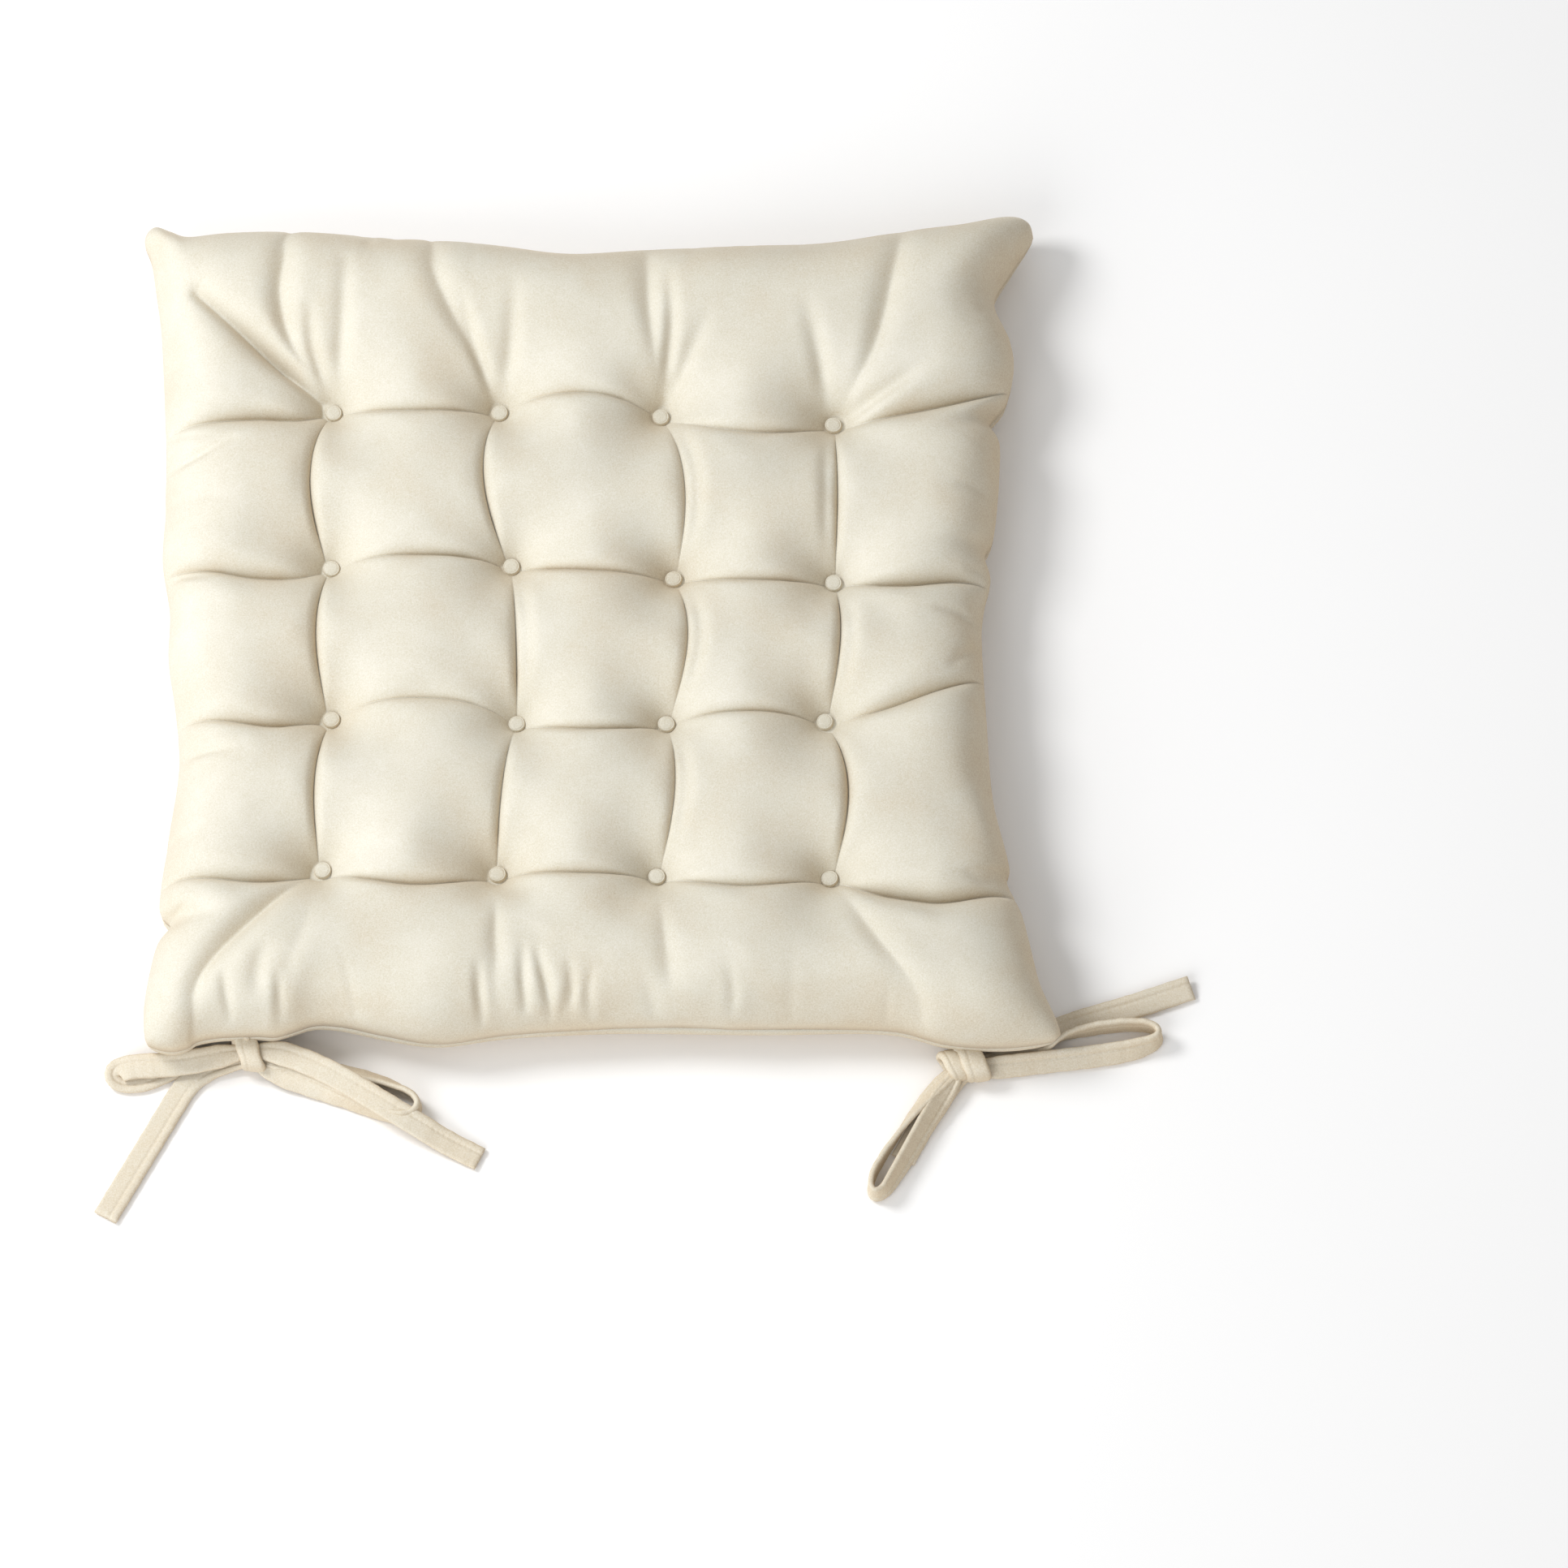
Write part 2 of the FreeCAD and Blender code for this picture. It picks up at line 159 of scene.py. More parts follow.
BUTTONS = [[button_centre(row, column) for column in range(1, 5)] for row in range(1, 5)]
BUTTON_CENTRES = [centre for row in BUTTONS for centre in row]


def bowed_line(start, end, across, bow):
    """Fold between two buttons, bowed sideways in its middle."""
    shares = np.linspace(0, 1, 33)[:, None]
    return start + (end - start) * shares + np.array(across) * bow * np.sin(math.pi * shares) ** 0.8


def run_line(button, run):
    return smooth_line([tuple(button)] + run, 10)


def column_fold(column, span):
    """Fold between two buttons of one column, from the back one to the front one."""
    return bowed_line(BUTTONS[span][column], BUTTONS[span + 1][column], (1, 0),
                      COLUMN_BOWS[column][span])


def row_fold(row, span):
    """Fold between two buttons of one row, from the left one to the right one."""
    return bowed_line(BUTTONS[row][span], BUTTONS[row][span + 1], (0, 1), ROW_BOWS[row][span])


def cut_edge(edge, runs):
    """The pieces of one seam edge between its corners and the runs that end on it."""
    line = smooth_line(edge)
    cuts = [0] + [int(np.argmin(np.linalg.norm(line - run[-1], axis=1))) for run in runs]
    cuts.append(len(line) - 1)
    cuts.sort()
    return [line[first:last + 1] for first, last in zip(cuts, cuts[1:])]


def tufting_lines():
    """Lines of the 5 by 5 pillows, front to back and left to right.

    across[i][j] runs left to right along line i, from the front seam; upward[i][j] runs front to
    back along line j, from the left seam.
    """
    front = cut_edge(FRONT_EDGE, FRONT_RUNS)
    back = [piece[::-1] for piece in cut_edge(BACK_EDGE, BACK_RUNS)[::-1]]
    right = cut_edge(RIGHT_EDGE, RIGHT_RUNS)
    left = [piece[::-1] for piece in cut_edge(LEFT_EDGE, LEFT_RUNS)[::-1]]
    across = [front]
    for row in (3, 2, 1, 0):
        runs = (run_line(BUTTONS[row][0], LEFT_RUNS[row])[::-1],
                run_line(BUTTONS[row][3], RIGHT_RUNS[row]))
        runs[0][0] = left[3 - row][-1]
        runs[1][-1] = right[3 - row][-1]
        across.append([runs[0]] + [row_fold(row, span) for span in range(3)] + [runs[1]])
    across.append(back)
    columns = [left]
    for column in range(4):
        front_run = run_line(BUTTONS[3][column], FRONT_RUNS[column])[::-1]
        back_run = run_line(BUTTONS[0][column], BACK_RUNS[column])
        front_run[0] = front[column][-1]
        back_run[-1] = back[column][-1]
        folds = [column_fold(column, span)[::-1] for span in (2, 1, 0)]
        columns.append([front_run] + folds + [back_run])
    columns.append(right)
    upward = [[columns[j][i] for j in range(6)] for i in range(5)]
    return across, upward


def coons_patch(bottom, top, left, right, shares):
    """Grid of points between four lines."""
    bottom, top, left, right = (along(line, shares) for line in (bottom, top, left, right))
    u = shares[None, :, None]
    v = shares[:, None, None]
    return ((1 - v) * bottom[None] + v * top[None] + (1 - u) * left[:, None] + u * right[:, None]
            - (1 - u) * (1 - v) * bottom[0] - u * (1 - v) * bottom[-1]
            - (1 - u) * v * top[0] - u * v * top[-1])


def pillow_grid(squares):
    """Plan of a cover panel: one grid of x, y whose lines follow the folds and the seam."""
    shares = spaced(squares)
    count = 5 * squares + 1
    plan = np.zeros((count, count, 2))
    across, upward = tufting_lines()
    for i in range(5):
        for j in range(5):
            patch = coons_patch(across[i][j], across[i + 1][j], upward[i][j], upward[i][j + 1],
                                shares)
            plan[i * squares:(i + 1) * squares + 1, j * squares:(j + 1) * squares + 1] = patch
    return plan[..., 0], plan[..., 1]


def seam_distances(x, y):
    """Distances from the front, back, left and right seam, measured along the grid lines."""
    upward = np.hypot(np.diff(x, axis=0), np.diff(y, axis=0))
    front = np.vstack([np.zeros((1, x.shape[1])), np.cumsum(upward, axis=0)])
    sideways = np.hypot(np.diff(x, axis=1), np.diff(y, axis=1))
    left = np.hstack([np.zeros((x.shape[0], 1)), np.cumsum(sideways, axis=1)])
    return front, front[-1:] - front, left, left[:, -1:] - left


# ---- tufting folds ----
FOLD_DIP = 0.0050             # how far a fold between two buttons lies below its pillows
FOLD_REACH = 0.0085
TUCK_RADIUS = 0.0046          # roundness of a pillow's side where it tucks into a fold
BUTTON_DIP = CROWN_Z - BUTTON_Z - 0.0008
BUTTON_REACH = 0.0150
SEAT_RADIUS = 0.0036          # flat place under a button
FOLD_POWER = 3.0              # how dips that meet add up
CROSSING_SOFTNESS = 0.0008    # rounding of the folds that the mesh lines don't follow
SOFT_RUN = 0.0016             # rounding of the folds that run to the back and front seams
BACK_RUN_REACH = 0.0058
FRONT_RUN_REACH = 0.0066
SIDE_RUN_REACH = FOLD_REACH * 0.8

# Depth of the tuck at both ends of each fold, in the order of COLUMN_BOWS and ROW_BOWS.
COLUMN_TUCKS = [
    [(0.0030, 0.0060), (0.0049, 0.0049), (0.0045, 0.0052)],
    [(0.0030, 0.0056), (0.0022, 0.0056), (0.0026, 0.0052)],
    [(0.0019, 0.0030), (0.0030, 0.0030), (0.0022, 0.0034)],
    [(0.0038, 0.0049), (0.0045, 0.0038), (0.0045, 0.0056)],
]
ROW_TUCKS = [
    [(0.0041, 0.0045), (0.0026, 0.0045), (0.0019, 0.0049)],
    [(0.0026, 0.0060), (0.0056, 0.0038), (0.0038, 0.0049)],
    [(0.0022, 0.0030), (0.0041, 0.0052), (0.0038, 0.0045)],
    [(0.0056, 0.0045), (0.0038, 0.0041), (0.0041, 0.0041)],
]

# Dip at the button and at the seam, then tuck at the button and at the seam, of each run.
BACK_RUN_DEPTHS = [(0.008, 0.005, 0.0000, 0.0000), (0.007, 0.003, 0.0000, 0.0000),
                   (0.007, 0.003, 0.0000, 0.0000), (0.009, 0.004, 0.0000, 0.0000)]
FRONT_RUN_DEPTHS = [(0.004, 0.001, 0.0000, 0.0000), (0.007, 0.001, 0.0000, 0.0000),
                    (0.007, 0.001, 0.0000, 0.0000), (0.008, 0.001, 0.0000, 0.0000)]
LEFT_RUN_DEPTHS = [(0.012, 0.004, 0.0050, 0.0030), (0.011, 0.004, 0.0040, 0.0060),
                   (0.010, 0.003, 0.0050, 0.0030), (0.011, 0.004, 0.0040, 0.0030)]
RIGHT_RUN_DEPTHS = [(0.012, 0.008, 0.0030, 0.0070), (0.010, 0.007, 0.0060, 0.0060),
                    (0.010, 0.006, 0.0030, 0.0060), (0.011, 0.008, 0.0060, 0.0070)]

# Sharp folds that run to two corners: points, dip at both ends, tuck at both ends, reach.
CORNER_FOLDS = [
    ([(-0.120, 0.105), (-0.147, 0.126), (-0.182, 0.158)],
     0.013, 0.003, 0.0135, 0.0070, 0.008),
    ([(-0.122, -0.119), (-0.147, -0.143), (-0.170, -0.168), (-0.178, -0.182), (-0.1785, -0.195)],
     0.0085, 0.004, 0.0030, 0.0015, 0.0065),
]

# Gentle folds that fade out at both ends, then ones that run in from the seam: points, dip,
# dip at the far end, reach.
INNER_FOLDS = [
    ([(-0.120, 0.108), (-0.129, 0.130), (-0.131, 0.150)], 0.006, 0.001, 0.004),
    ([(-0.1175, 0.110), (-0.116, 0.140), (-0.115, 0.172)], 0.006, 0.002, 0.005),
    ([(-0.0435, 0.110), (-0.040, 0.130), (-0.0385, 0.160)], 0.005, 0.001, 0.005),
    ([(0.1035, 0.104), (0.100, 0.125), (0.094, 0.150)], 0.006, 0.001, 0.005),
    ([(-0.045, 0.105), (-0.055, 0.130), (-0.062, 0.155)], 0.006, 0.001, 0.004),
    ([(0.028, 0.103), (0.033, 0.140), (0.032, 0.168)], 0.007, 0.001, 0.004),
    ([(0.028, 0.103), (0.036, 0.118), (0.049, 0.144)], 0.006, 0.001, 0.005),
    ([(0.106, 0.099), (0.126, 0.108), (0.149, 0.122)], 0.008, 0.001, 0.005),
    ([(-0.150, -0.188), (-0.149, -0.172), (-0.144, -0.160)], 0.004, 0.000, 0.005),
]
SEAM_FOLDS = [
    ([(-0.194, 0.075), (-0.180, 0.078), (-0.166, 0.084)], 0.005, 0.001, 0.005),
    ([(-0.190, 0.021), (-0.171, 0.018)], 0.004, 0.000, 0.005),
    ([(-0.186, -0.066), (-0.172, -0.067), (-0.161, -0.067)], 0.005, 0.000, 0.005),
    ([(0.173, -0.003), (0.162, 0.001), (0.150, 0.002)], 0.005, 0.000, 0.005),
    ([(0.173, -0.011), (0.165, -0.018), (0.157, -0.027)], 0.005, 0.000, 0.005),
    ([(0.182, -0.124), (0.172, -0.128), (0.163, -0.126)], 0.004, 0.000, 0.005),
    ([(0.182, 0.158), (0.170, 0.150)], 0.005, 0.000, 0.005),
    ([(-0.190, -0.143), (-0.178, -0.139)], 0.005, 0.000, 0.004),
    ([(-0.1620, -0.190), (-0.1640, -0.181), (-0.1650, -0.172)], 0.004, 0.0, 0.005),
    ([(-0.1400, -0.190), (-0.1402, -0.182), (-0.1410, -0.173)], 0.004, 0.0, 0.005),
    ([(-0.0505, -0.191), (-0.0517, -0.181), (-0.0520, -0.168)], 0.005, 0.0, 0.005),
    ([(-0.0310, -0.187), (-0.0320, -0.174), (-0.0320, -0.160)], 0.004, 0.0, 0.005),
    ([(-0.0200, -0.190), (-0.0215, -0.180), (-0.0265, -0.162)], 0.006, 0.0, 0.005),
    ([(-0.0140, -0.189), (-0.0105, -0.180), (-0.0120, -0.168)], 0.005, 0.0, 0.005),
    ([(-0.0025, -0.189), (-0.0030, -0.181), (-0.0010, -0.171)], 0.004, 0.0, 0.005),
    ([(0.060, -0.190), (0.0610, -0.181), (0.0590, -0.172)], 0.004, 0.0, 0.005),
    ([(0.176, 0.0262), (0.170, 0.0250), (0.164, 0.0240)], 0.006, 0.0, 0.005),
    ([(0.178, 0.060), (0.170, 0.062), (0.160, 0.061)], 0.004, 0.0, 0.005),
]
INNER_SHAPE = (0, 0.5, 0.35)  # share of the dip from the start on; half the end dip follows
SEAM_SHAPE = (1, 0.8, 0.35)
INNER_REACH_SHARE = 0.8
SEAM_REACH_SHARE = 0.5

# Soft second folds beside column folds: column, span, sideways offset.
TWIN_FOLDS = [(2, 0, 0.0058), (2, 1, 0.0060), (2, 2, 0.0050), (3, 0, -0.0054), (3, 1, 0.0048),
              (1, 1, 0.0050)]
TWIN_DIP = 0.0018
TWIN_REACH = 0.0034
TWIN_FLATNESS = 0.6           # below 1, a twin fold keeps its distance for longer
TWIN_GAP = 3                  # points of the column fold that its twin leaves out at each end


def distance_to_line(x, y, line):
    """Distance to a line and the share of its length at the nearest point."""
    best = np.full(x.shape, np.inf)
    share = np.zeros(x.shape)
    steps = np.linalg.norm(np.diff(line, axis=0), axis=1)
    travelled = np.concatenate([[0], np.cumsum(steps)])
    for index, (start, run) in enumerate(zip(line, np.diff(line, axis=0))):
        offset_x = x - start[0]
        offset_y = y - start[1]
        part = np.clip((offset_x * run[0] + offset_y * run[1]) / (run @ run), 0, 1)
        away = np.hypot(offset_x - part * run[0], offset_y - part * run[1])
        nearer = away < best
        best = np.where(nearer, away, best)
        share = np.where(nearer, (travelled[index] + part * steps[index]) / travelled[-1], share)
    return best, share


def tuck_shape(away, radius):
    """A pillow's side as a quarter circle: 1 in the fold, 0 at the radius and beyond."""
    inside = np.clip(1 - away / radius, 0, 1)
    return 1 - np.sqrt(np.clip(1 - inside ** 2, 0, 1))


def all_folds():
    """Every fold as a line, its dip and its tuck along it, its reach and its softness."""
    folds = []
    for fold, tucks in ((column_fold, COLUMN_TUCKS), (row_fold, ROW_TUCKS)):
        for place in range(4):
            for span, (first, last) in enumerate(tucks[place]):
                folds.append((fold(place, span), [FOLD_DIP] * 3,
                              [0, first, (first + last) / 2, last, 0], FOLD_REACH, 0))
    sides = ((BACK_RUNS, BACK_RUN_DEPTHS, BUTTONS[0], BACK_RUN_REACH, SOFT_RUN),
             (FRONT_RUNS, FRONT_RUN_DEPTHS, BUTTONS[3], FRONT_RUN_REACH, SOFT_RUN),
             (LEFT_RUNS, LEFT_RUN_DEPTHS, [row[0] for row in BUTTONS], SIDE_RUN_REACH, 0),
             (RIGHT_RUNS, RIGHT_RUN_DEPTHS, [row[3] for row in BUTTONS], SIDE_RUN_REACH, 0))
    for runs, depths, buttons, reach, softness in sides:
        for run, (dip, seam_dip, tuck, seam_tuck), button in zip(runs, depths, buttons):
            folds.append((run_line(button, run), [dip, (dip + seam_dip) / 2, seam_dip],
                          [0, tuck, (tuck + seam_tuck) / 2, seam_tuck], reach, softness))
    for points, dip, end_dip, tuck, end_tuck, reach in CORNER_FOLDS:
        folds.append((smooth_line(points, 8), [dip, (dip + end_dip) / 2, end_dip],
                      [0, tuck, (tuck + end_tuck) / 2, end_tuck], reach, CROSSING_SOFTNESS))
    return folds


def gentle_folds():
    """The soft short folds, which add to what is below them: line, dip along it, reach."""
    folds = []
    for column, span, offset in TWIN_FOLDS:
        line = column_fold(column, span).copy()
        line[:, 0] += offset * np.sin(np.linspace(0, math.pi, len(line))) ** TWIN_FLATNESS
        folds.append((line[TWIN_GAP:-TWIN_GAP], [0, TWIN_DIP, TWIN_DIP, TWIN_DIP, 0], TWIN_REACH))
    groups = ((INNER_FOLDS, INNER_SHAPE, INNER_REACH_SHARE),
              (SEAM_FOLDS, SEAM_SHAPE, SEAM_REACH_SHARE))
    for group, shape, reach_share in groups:
        for points, dip, end_dip, reach in group:
            dips = [dip * share for share in shape] + [end_dip * 0.5]
            folds.append((smooth_line(points, 8), dips, reach * reach_share))
    return folds


def fold_depth(x, y):
    """How far the buttons and folds draw the top panel down."""
    dips = np.zeros(x.shape)
    tucks = np.zeros(x.shape)
    for line, dip_along, tuck_along, reach, softness in all_folds():
        margin = 4 * reach
        low = line.min(axis=0) - margin
        high = line.max(axis=0) + margin
        near = (x > low[0]) & (x < high[0]) & (y > low[1]) & (y < high[1])
        away, share = distance_to_line(x[near], y[near], line)
        away = np.hypot(away, softness)
        dip = np.interp(share, np.linspace(0, 1, len(dip_along)), dip_along)
        dips[near] += (dip * np.exp(-(away / reach) ** 1.3)) ** FOLD_POWER
        tuck = np.interp(share, np.linspace(0, 1, len(tuck_along)), tuck_along)
        tucks[near] += (tuck * tuck_shape(away, TUCK_RADIUS + 3 * softness)) ** FOLD_POWER
    for centre in BUTTON_CENTRES:
        away = np.clip(np.hypot(x - centre[0], y - centre[1]) - SEAT_RADIUS, 0, None)
        dips += (BUTTON_DIP * np.exp(-(away / BUTTON_REACH) ** 1.05)) ** FOLD_POWER
    gentle = np.zeros(x.shape)
    for line, dip_along, reach in gentle_folds():
        away, share = distance_to_line(x, y, line)
        dip = np.interp(share, np.linspace(0, 1, len(dip_along)), dip_along)
        gentle += dip * np.exp(-(away / reach) ** 2)
    return dips ** (1 / FOLD_POWER) + tucks ** (1 / FOLD_POWER) + gentle


SWELL_HEIGHT = 0.0008


def unevenness(x, y):
    """Slow swells of the hand-filled pad, a few to each side."""
    return SWELL_HEIGHT * (np.sin(61 * x + 1.3) * np.cos(53 * y - 0.4)
                           + 0.6 * np.sin(97 * x - 71 * y + 2.1))


GATHERS_PER_SIDE = 13
GATHER_RANGE = 0.15           # the gathers keep clear of the corners


def seam_gathers(distances, x, y):
    """Short gathers that run in from the seam, square to it."""
    chance = np.random.default_rng(SEED)
    total = np.zeros(x.shape)
    for distance, place in zip(distances, (x, x, y, y)):
        for _ in range(GATHERS_PER_SIDE):
            centre = chance.uniform(-GATHER_RANGE, GATHER_RANGE)
            length = chance.uniform(0.006, 0.020)
            width = chance.uniform(0.0016, 0.0040)
            depth = chance.uniform(0.0003, 0.0011)
            lean = chance.uniform(-0.5, 0.5)
            offset = place - centre - lean * distance
            total += depth * np.exp(-(distance / length) ** 1.5 - (offset / width) ** 2)
    return total


EDGE_ROUNDING = 0.037         # how far in from the seam the pad reaches its full height
BOTTOM_ROUNDING = 0.024
TOP_ROUNDNESS = 2.3           # powers of the rounded edges: 2 for a circle's quarter
BOTTOM_ROUNDNESS = 2.2
CROWN_FULLNESS = 0.85         # below 1, the pillows rise faster behind the seam
FOLD_FADE = 1.1               # above 1, the folds flatten sooner towards the seam
SEAT_LIFT_RADIUS = 0.012      # round each button, the cover stays just above its underside
KNOT_DENT_REACH = 0.0085


def roundness(distance, width, power):
    """0 at the seam, 1 from the given width inwards, upright at the seam."""
    inward = np.clip(distance / width, 0, 1)
    return np.sqrt(np.clip(1 - (1 - inward) ** power, 0, 1))


def top_height(x, y, distances):
    """Height of the top panel."""
    fullness = np.ones(x.shape)
    for distance in distances:
        fullness = fullness * roundness(distance, EDGE_ROUNDING, TOP_ROUNDNESS)
    drawn = fold_depth(x, y) * fullness ** FOLD_FADE
    near_edge = np.clip(fullness * 4, 0, 1)
    height = SEAM_Z + (CROWN_Z - SEAM_Z) * fullness ** CROWN_FULLNESS - drawn
    height += (unevenness(x, y) - seam_gathers(distances, x, y)) * near_edge
    for centre in BUTTON_CENTRES:
        seat = np.hypot(x - centre[0], y - centre[1]) < SEAT_LIFT_RADIUS
        height[seat] = np.maximum(height[seat], BUTTON_Z + 0.0009)
    return np.maximum(height, SEAM_Z + 0.0004 * near_edge)


def bottom_height(x, y, distances):
    """Height of the bottom panel: flat on what it lies on, turned up to the seam."""
    fullness = np.ones(x.shape)
    for distance in distances:
        fullness = fullness * roundness(distance, BOTTOM_ROUNDING, BOTTOM_ROUNDNESS)
    height = SEAM_Z * (1 - fullness)
    for centre in BUTTON_CENTRES:
        away = np.hypot(x - centre[0], y - centre[1])
        height += (KNOT_TOP_Z + 0.0005) * np.exp(-(away / KNOT_DENT_REACH) ** 1.4)
    return height


# ---- mesh helpers ----
def mesh_object(name, vertices, faces):
    mesh = bpy.data.meshes.new(name)
    mesh.from_pydata(np.asarray(vertices).tolist(), [], [list(map(int, face)) for face in faces])
    mesh.polygons.foreach_set("use_smooth", np.ones(len(mesh.polygons), bool))
    mesh.update()
    piece = bpy.data.objects.new(name, mesh)
    bpy.context.scene.collection.objects.link(piece)
    return piece


def grid_faces(rows, columns, flipped=False):
    """Square faces of a grid of rows by columns points."""
    corner = (np.arange(rows - 1)[:, None] * columns + np.arange(columns - 1)[None]).ravel()
    faces = np.stack([corner, corner + 1, corner + columns + 1, corner + columns], axis=1)
    return faces[:, ::-1] if flipped else faces


def valley_faces(z):
    """Triangles of a grid, each square split along its lower diagonal, so that folds stay clean."""
    rows, columns = z.shape
    heights = z.ravel()
    squares = grid_faces(rows, columns)
    low, right, far, left = squares.T
    split = (heights[low] + heights[far] < heights[right] + heights[left])[:, None]
    first = np.where(split, np.stack([low, right, far], 1), np.stack([low, right, left], 1))
    second = np.where(split, np.stack([low, far, left], 1), np.stack([right, far, left], 1))
    return np.vstack([first, second])


def tube_faces(rings, points, closed):
    """Faces of a tube of rings of points; an open tube gets a face at each end."""
    faces = []
    for ring in range(rings if closed else rings - 1):
        here = ring * points
        beyond = (ring + 1) % rings * points
        for point in range(points):
            following = (point + 1) % points
            faces.append((here + point, beyond + point, beyond + following, here + following))
    if not closed:
        faces.append(tuple(range(points)))
        faces.append(tuple(range(rings * points - 1, (rings - 1) * points - 1, -1)))
    return faces


def dress(piece, material, body, slot, *replaced):
    """Material, body and the nodes that a piece stands for; the slot argument is not used."""
    piece.data.materials.append(material)
    if body:
        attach(piece, body)
    if replaced:
        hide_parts(*replaced)


# ---- cloth simulation of the top cover ----
SIM_SQUARES = 24
SIM_FRAMES = 20
SPARE_CLOTH = 0.009           # how much larger the cut cloth is than the shape it covers
LONGEST_MOVE = 0.0014
PRESSURE = 4
STRETCH_STIFFNESS = 15
SHEAR_STIFFNESS = 5
BENDING_STIFFNESS = 6
HELD_BESIDE_FOLD = 2          # mesh lines on each side of a fold that stay where they are
HELD_BUTTON_RADIUS = 0.0075
STILL_REACH = 0.010           # the moves fade out this close to a fold that crosses the mesh
SMOOTHING_PASSES = 3          # takes out ripples as small as the coarse mesh


def held_points(x, y):
    """Points where the cloth is held: at the seam, the buttons and the folds between them."""
    held = np.zeros(x.shape, bool)
    held[[0, -1]] = True
    held[:, [0, -1]] = True
    for fold in range(SIM_SQUARES, 5 * SIM_SQUARES, SIM_SQUARES):
        band = slice(fold - HELD_BESIDE_FOLD, fold + HELD_BESIDE_FOLD + 1)
        held[band] = True
        held[SIM_SQUARES:-SIM_SQUARES, band] = True
    for centre in BUTTON_CENTRES:
        held |= np.hypot(x - centre[0], y - centre[1]) < HELD_BUTTON_RADIUS
    return np.flatnonzero(held).tolist()


def simulated_moves():
    """How far each point of a coarse top cover moves as the cut cloth settles over its filling."""
    x, y = pillow_grid(SIM_SQUARES)
    start = np.stack([x, y, top_height(x, y, seam_distances(x, y))], axis=-1)
    sheet = mesh_object("settling cloth", start.reshape(-1, 3), grid_faces(*x.shape))
    group = sheet.vertex_groups.new(name="held")
    group.add(held_points(x, y), 1.0, "REPLACE")
    modifier = sheet.modifiers.new("settling", "CLOTH")
    cloth = modifier.settings
    cloth.quality = 5
    cloth.mass = 0.3
    cloth.tension_stiffness = STRETCH_STIFFNESS
    cloth.compression_stiffness = STRETCH_STIFFNESS
    cloth.shear_stiffness = SHEAR_STIFFNESS
    cloth.bending_stiffness = BENDING_STIFFNESS
    cloth.use_pressure = True
    cloth.uniform_pressure_force = PRESSURE
    cloth.effector_weights.gravity = 0
    cloth.vertex_group_mass = "held"
    cloth.shrink_min = -SPARE_CLOTH
    modifier.collision_settings.use_collision = False
    modifier.point_cache.frame_start = 1
    modifier.point_cache.frame_end = SIM_FRAMES
    for step in range(1, SIM_FRAMES + 1):
        bpy.context.scene.frame_set(step)
    settled = sheet.evaluated_get(bpy.context.evaluated_depsgraph_get()).to_mesh()
    places = np.zeros(start.size)
    settled.vertices.foreach_get("co", places)
    moves = places.reshape(start.shape) - start
    for _ in range(SMOOTHING_PASSES):
        for axis in (0, 1):
            moves = (np.roll(moves, 1, axis) + 2 * moves + np.roll(moves, -1, axis)) / 4
    bpy.data.objects.remove(sheet)
    bpy.context.scene.frame_set(1)
    size = np.linalg.norm(moves, axis=-1, keepdims=True)
    return moves * LONGEST_MOVE * np.tanh(size / LONGEST_MOVE) / np.maximum(size, 1e-9)


def smooth_weights(squares):
    """Catmull-Rom weights that read a line of simulated points at a finer line's points."""
    coarse = np.concatenate([spaced(SIM_SQUARES)[:-1] + patch for patch in range(5)] + [[5.0]])
    fine = np.concatenate([spaced(squares)[:-1] + patch for patch in range(5)] + [[5.0]])
    place = np.interp(fine, coarse, np.arange(len(coarse)))
    first = np.minimum(place.astype(int), len(coarse) - 2)
    t = place - first
    parts = (-0.5 * t + t ** 2 - 0.5 * t ** 3, 1 - 2.5 * t ** 2 + 1.5 * t ** 3,
             0.5 * t + 2 * t ** 2 - 1.5 * t ** 3, 0.5 * t ** 3 - 0.5 * t ** 2)
    weights = np.zeros((len(fine), len(coarse)))
    for offset, part in zip((-1, 0, 1, 2), parts):
        column = np.clip(first + offset, 0, len(coarse) - 1)
        np.add.at(weights, (np.arange(len(fine)), column), part)
    return weights


def settled_moves(squares, x, y):
    """The simulated moves at the points of a finer grid, none at the sharp folds across it."""
    weights = smooth_weights(squares)
    moves = np.einsum("ai,ijk,bj->abk", weights, simulated_moves(), weights, optimize=True)
    for points in [fold[0] for fold in CORNER_FOLDS + SEAM_FOLDS]:
        away = distance_to_line(x, y, smooth_line(points, 8))[0]
        moves *= np.clip(away / STILL_REACH, 0, 1)[..., None]
    return moves


def bulge(plan_x, plan_y, height, level, spread, amount):
    """Pushes the cloth outwards around one level, as a filled pad bulges beside its seam."""
    swell = 1 + amount * np.exp(-((height - level) / spread) ** 2)
    return plan_x * swell, plan_y * swell


# ---- materials ----
def new_material(name):
    material = bpy.data.materials.new(name)
    material.use_nodes = True
    nodes = material.node_tree.nodes
    return material, nodes, material.node_tree.links, nodes["Principled BSDF"]


def noise(nodes, links, coordinates, scale, detail=3.0, roughness=0.55):
    node = nodes.new("ShaderNodeTexNoise")
    node.inputs["Scale"].default_value = scale
    node.inputs["Detail"].default_value = detail
    node.inputs["Roughness"].default_value = roughness
    links.new(coordinates, node.inputs["Vector"])
    return node.outputs["Fac"]


